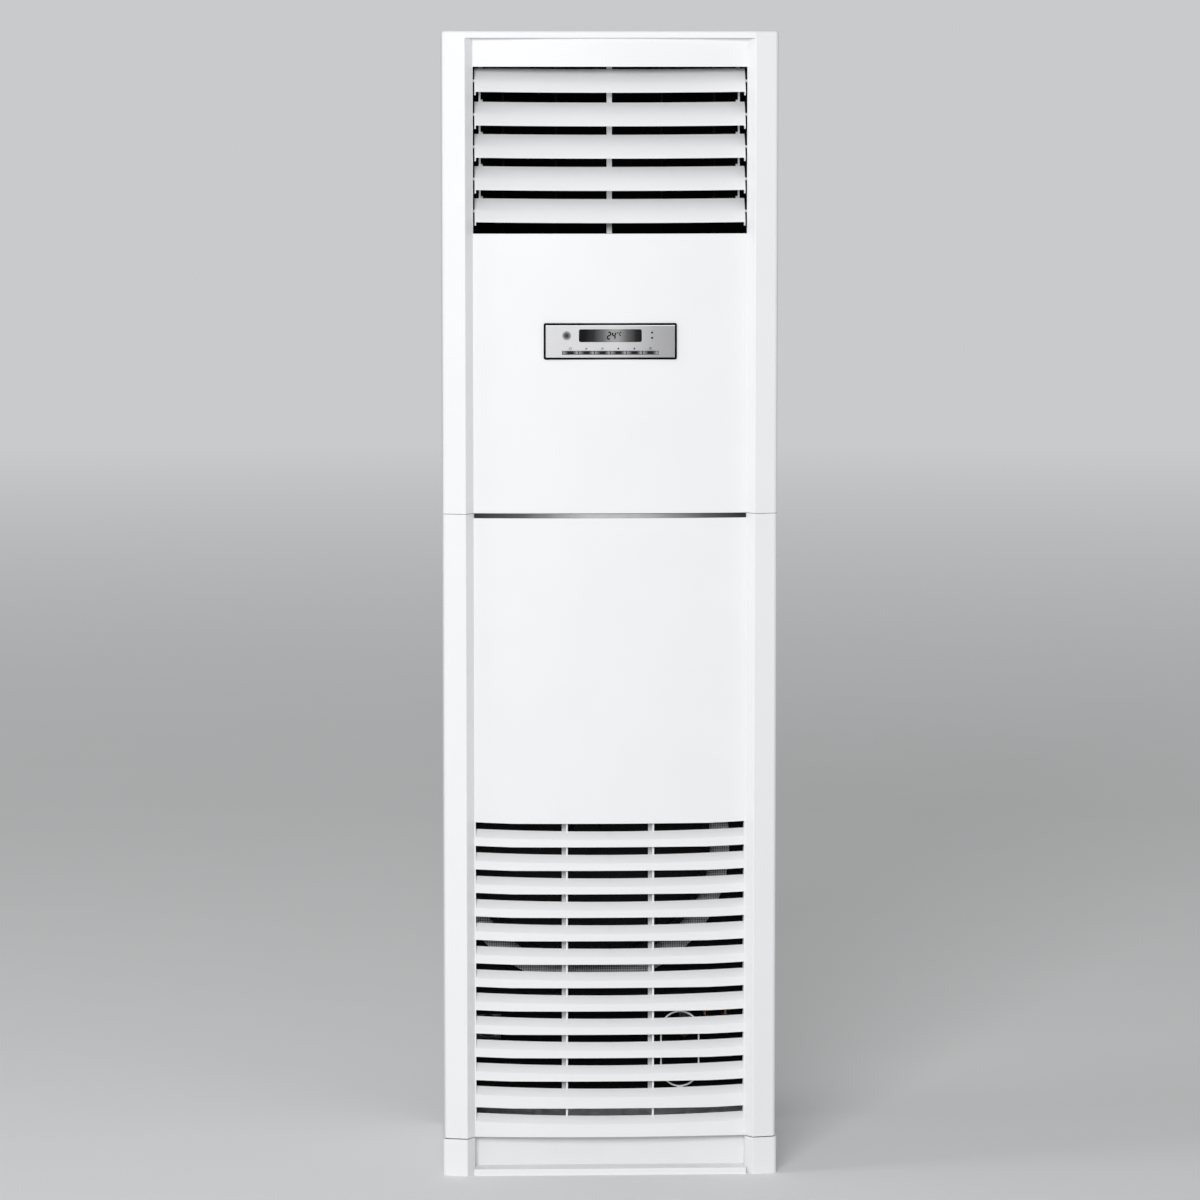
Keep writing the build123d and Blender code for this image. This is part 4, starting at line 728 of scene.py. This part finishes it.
def strips_round_holes(name, low, high, holes):
    """A sheet of foam on the rear panel with square holes beside each other, from strips."""
    bm = bmesh.new()
    left = low[0]
    for hole_left, hole_right, hole_bottom, hole_top in sorted(holes):
        add_block(bm, (left, low[1], low[2]), (hole_left, high[1], high[2]))
        add_block(bm, (hole_left, low[1], low[2]), (hole_right, high[1], hole_bottom))
        add_block(bm, (hole_left, low[1], hole_top), (hole_right, high[1], high[2]))
        left = hole_right
    add_block(bm, (left, low[1], low[2]), (high[0], high[1], high[2]))
    return new_piece(name, bm, "black_foam", "cabinet")


def side_linings():
    """Foam on the inside of both side panels, below and above the coil."""
    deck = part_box("blower_deck")
    coil_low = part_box("drain_pan")[0].z
    duct_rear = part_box("outlet_duct")[1].y
    coil_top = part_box("coil_frame")[1].z
    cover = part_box("top_cover")[0].z
    levels = {"lower": (FOAM_BOTTOM, deck[0].z - 2 * MM, LOWER_FOAM_FRONT, FOAM_REAR),
              "middle": (deck[1].z + 1 * MM, coil_low - 4 * MM, *MIDDLE_FOAM),
              "upper": (coil_top + 8 * MM, cover - 6 * MM, duct_rear + 4 * MM, FOAM_REAR)}
    for side in (-1, 1):
        inner = side * SIDE_FACE
        faces = sorted((inner, inner - side * SIDE_FOAM))
        for level, (bottom, top, front, back) in levels.items():
            name = f"{'left' if side < 0 else 'right'}_{level}_foam"
            lining(name, (faces[0], front, bottom), (faces[1], back, top))


def rear_linings():
    """Foam on the inside of the rear panels, cut out for the grommet and the pipes."""
    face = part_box("cabinet_screws")[0].y - 0.8 * MM
    sheet = face - REAR_FOAM
    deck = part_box("blower_deck")
    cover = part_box("top_cover")[0].z
    half = REAR_FOAM_HALF
    lining("rear_upper_foam", (-half, sheet, deck[1].z + 4 * MM), (half, face, cover - 10 * MM))
    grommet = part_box("cable_grommet")
    holes = [(grommet[0].x - 2 * MM, grommet[1].x + 2 * MM,
              grommet[0].z - 2 * MM, grommet[1].z + 2 * MM)]
    for radius, x, z in pipe_ends().values():
        reach = radius + 0.6 * MM
        holes.append((x - reach, x + reach, z - reach, z + reach))
    strips_round_holes("rear_lower_foam", (-half, sheet, FOAM_BOTTOM),
                       (half, face, deck[0].z - 4 * MM), holes)


side_linings()
rear_linings()
pipe_sleeves()


# ---------------------------------------------------------------- floor, light and camera

def stage_floor():
    """A wide plain floor that fades into the background far from the cabinet."""
    bm = bmesh.new()
    bmesh.ops.create_circle(bm, cap_ends=True, radius=FLOOR_RADIUS, segments=96)
    mesh = bpy.data.meshes.new("studio_floor")
    bm.to_mesh(mesh)
    bm.free()
    floor = bpy.data.objects.new("studio_floor", mesh)
    bpy.context.scene.collection.objects.link(floor)
    material, tree, shader = new_material("studio_floor")
    mottled(tree, shader, FLOOR_WHITE, 0.004, 3.0)
    shader.inputs["Roughness"].default_value = 0.9
    shader.inputs["Specular IOR Level"].default_value = 0.1
    away = tree.nodes.new("ShaderNodeVectorMath")
    away.operation = "LENGTH"
    tree.links.new(object_point(tree), away.inputs[0])
    path = tree.nodes.new("ShaderNodeLightPath")
    share = tree.nodes.new("ShaderNodeMath")
    share.operation = "MULTIPLY"
    tree.links.new(spread(tree, away.outputs["Value"], *FLOOR_FADE), share.inputs[0])
    tree.links.new(path.outputs["Is Camera Ray"], share.inputs[1])
    haze = tree.nodes.new("ShaderNodeEmission")
    haze.inputs["Color"].default_value = (*BACKDROP, 1.0)
    mix = tree.nodes.new("ShaderNodeMixShader")
    tree.links.new(share.outputs["Value"], mix.inputs["Fac"])
    tree.links.new(shader.outputs["BSDF"], mix.inputs[1])
    tree.links.new(haze.outputs["Emission"], mix.inputs[2])
    tree.links.new(mix.outputs["Shader"], tree.nodes["Material Output"].inputs["Surface"])
    mesh.materials.append(material)


def studio_world():
    """Even light from all round, with a plain pale background."""
    world = bpy.data.worlds.new("studio")
    bpy.context.scene.world = world
    world.use_nodes = True
    tree = world.node_tree
    light = tree.nodes["Background"]
    light.inputs["Color"].default_value = (1.0, 1.0, 1.0, 1.0)
    light.inputs["Strength"].default_value = WORLD_LIGHT
    seen = tree.nodes.new("ShaderNodeBackground")
    seen.inputs["Color"].default_value = (*BACKDROP, 1.0)
    seen.inputs["Strength"].default_value = 1.0
    path = tree.nodes.new("ShaderNodeLightPath")
    mix = tree.nodes.new("ShaderNodeMixShader")
    tree.links.new(path.outputs["Is Camera Ray"], mix.inputs["Fac"])
    tree.links.new(light.outputs["Background"], mix.inputs[1])
    tree.links.new(seen.outputs["Background"], mix.inputs[2])
    tree.links.new(mix.outputs["Shader"], tree.nodes["World Output"].inputs["Surface"])


def softbox(name, azimuth, elevation, distance, size, power):
    """A rectangular lamp aimed near the middle of the cabinet, with its angles in degrees."""
    lamp = bpy.data.lights.new(name, "AREA")
    lamp.shape = "RECTANGLE"
    lamp.size, lamp.size_y = size
    lamp.energy = power
    holder = bpy.data.objects.new(name, lamp)
    bpy.context.scene.collection.objects.link(holder)
    around, above = math.radians(azimuth), math.radians(elevation)
    away = Vector((math.sin(around) * math.cos(above), -math.cos(around) * math.cos(above),
                   math.sin(above)))
    target = Vector((0.0, 0.0, LAMP_AIM_HEIGHT))
    holder.location = target + away * distance
    holder.rotation_mode = "QUATERNION"
    holder.rotation_quaternion = (-away).to_track_quat("-Z", "Y")


def camera():
    """The photograph's viewpoint: about 8 m away, a little below the top of the outlet."""
    data = bpy.data.cameras.new("camera")
    data.lens = LENS
    data.sensor_width = SENSOR
    data.clip_end = 200.0
    holder = bpy.data.objects.new("camera", data)
    bpy.context.scene.collection.objects.link(holder)
    holder.location = EYE
    holder.rotation_euler = (math.radians(90) - PITCH_DOWN, 0.0, -TURN_RIGHT)
    bpy.context.scene.camera = holder


bpy.context.scene.view_settings.view_transform = "Standard"
stage_floor()
studio_world()
softbox("front_light", azimuth=-11.0, elevation=18.0, distance=9.5, size=(3.2, 2.6), power=470.0)
softbox("side_light", azimuth=-75.0, elevation=28.0, distance=5.0, size=(1.6, 2.2), power=36.0)
camera()
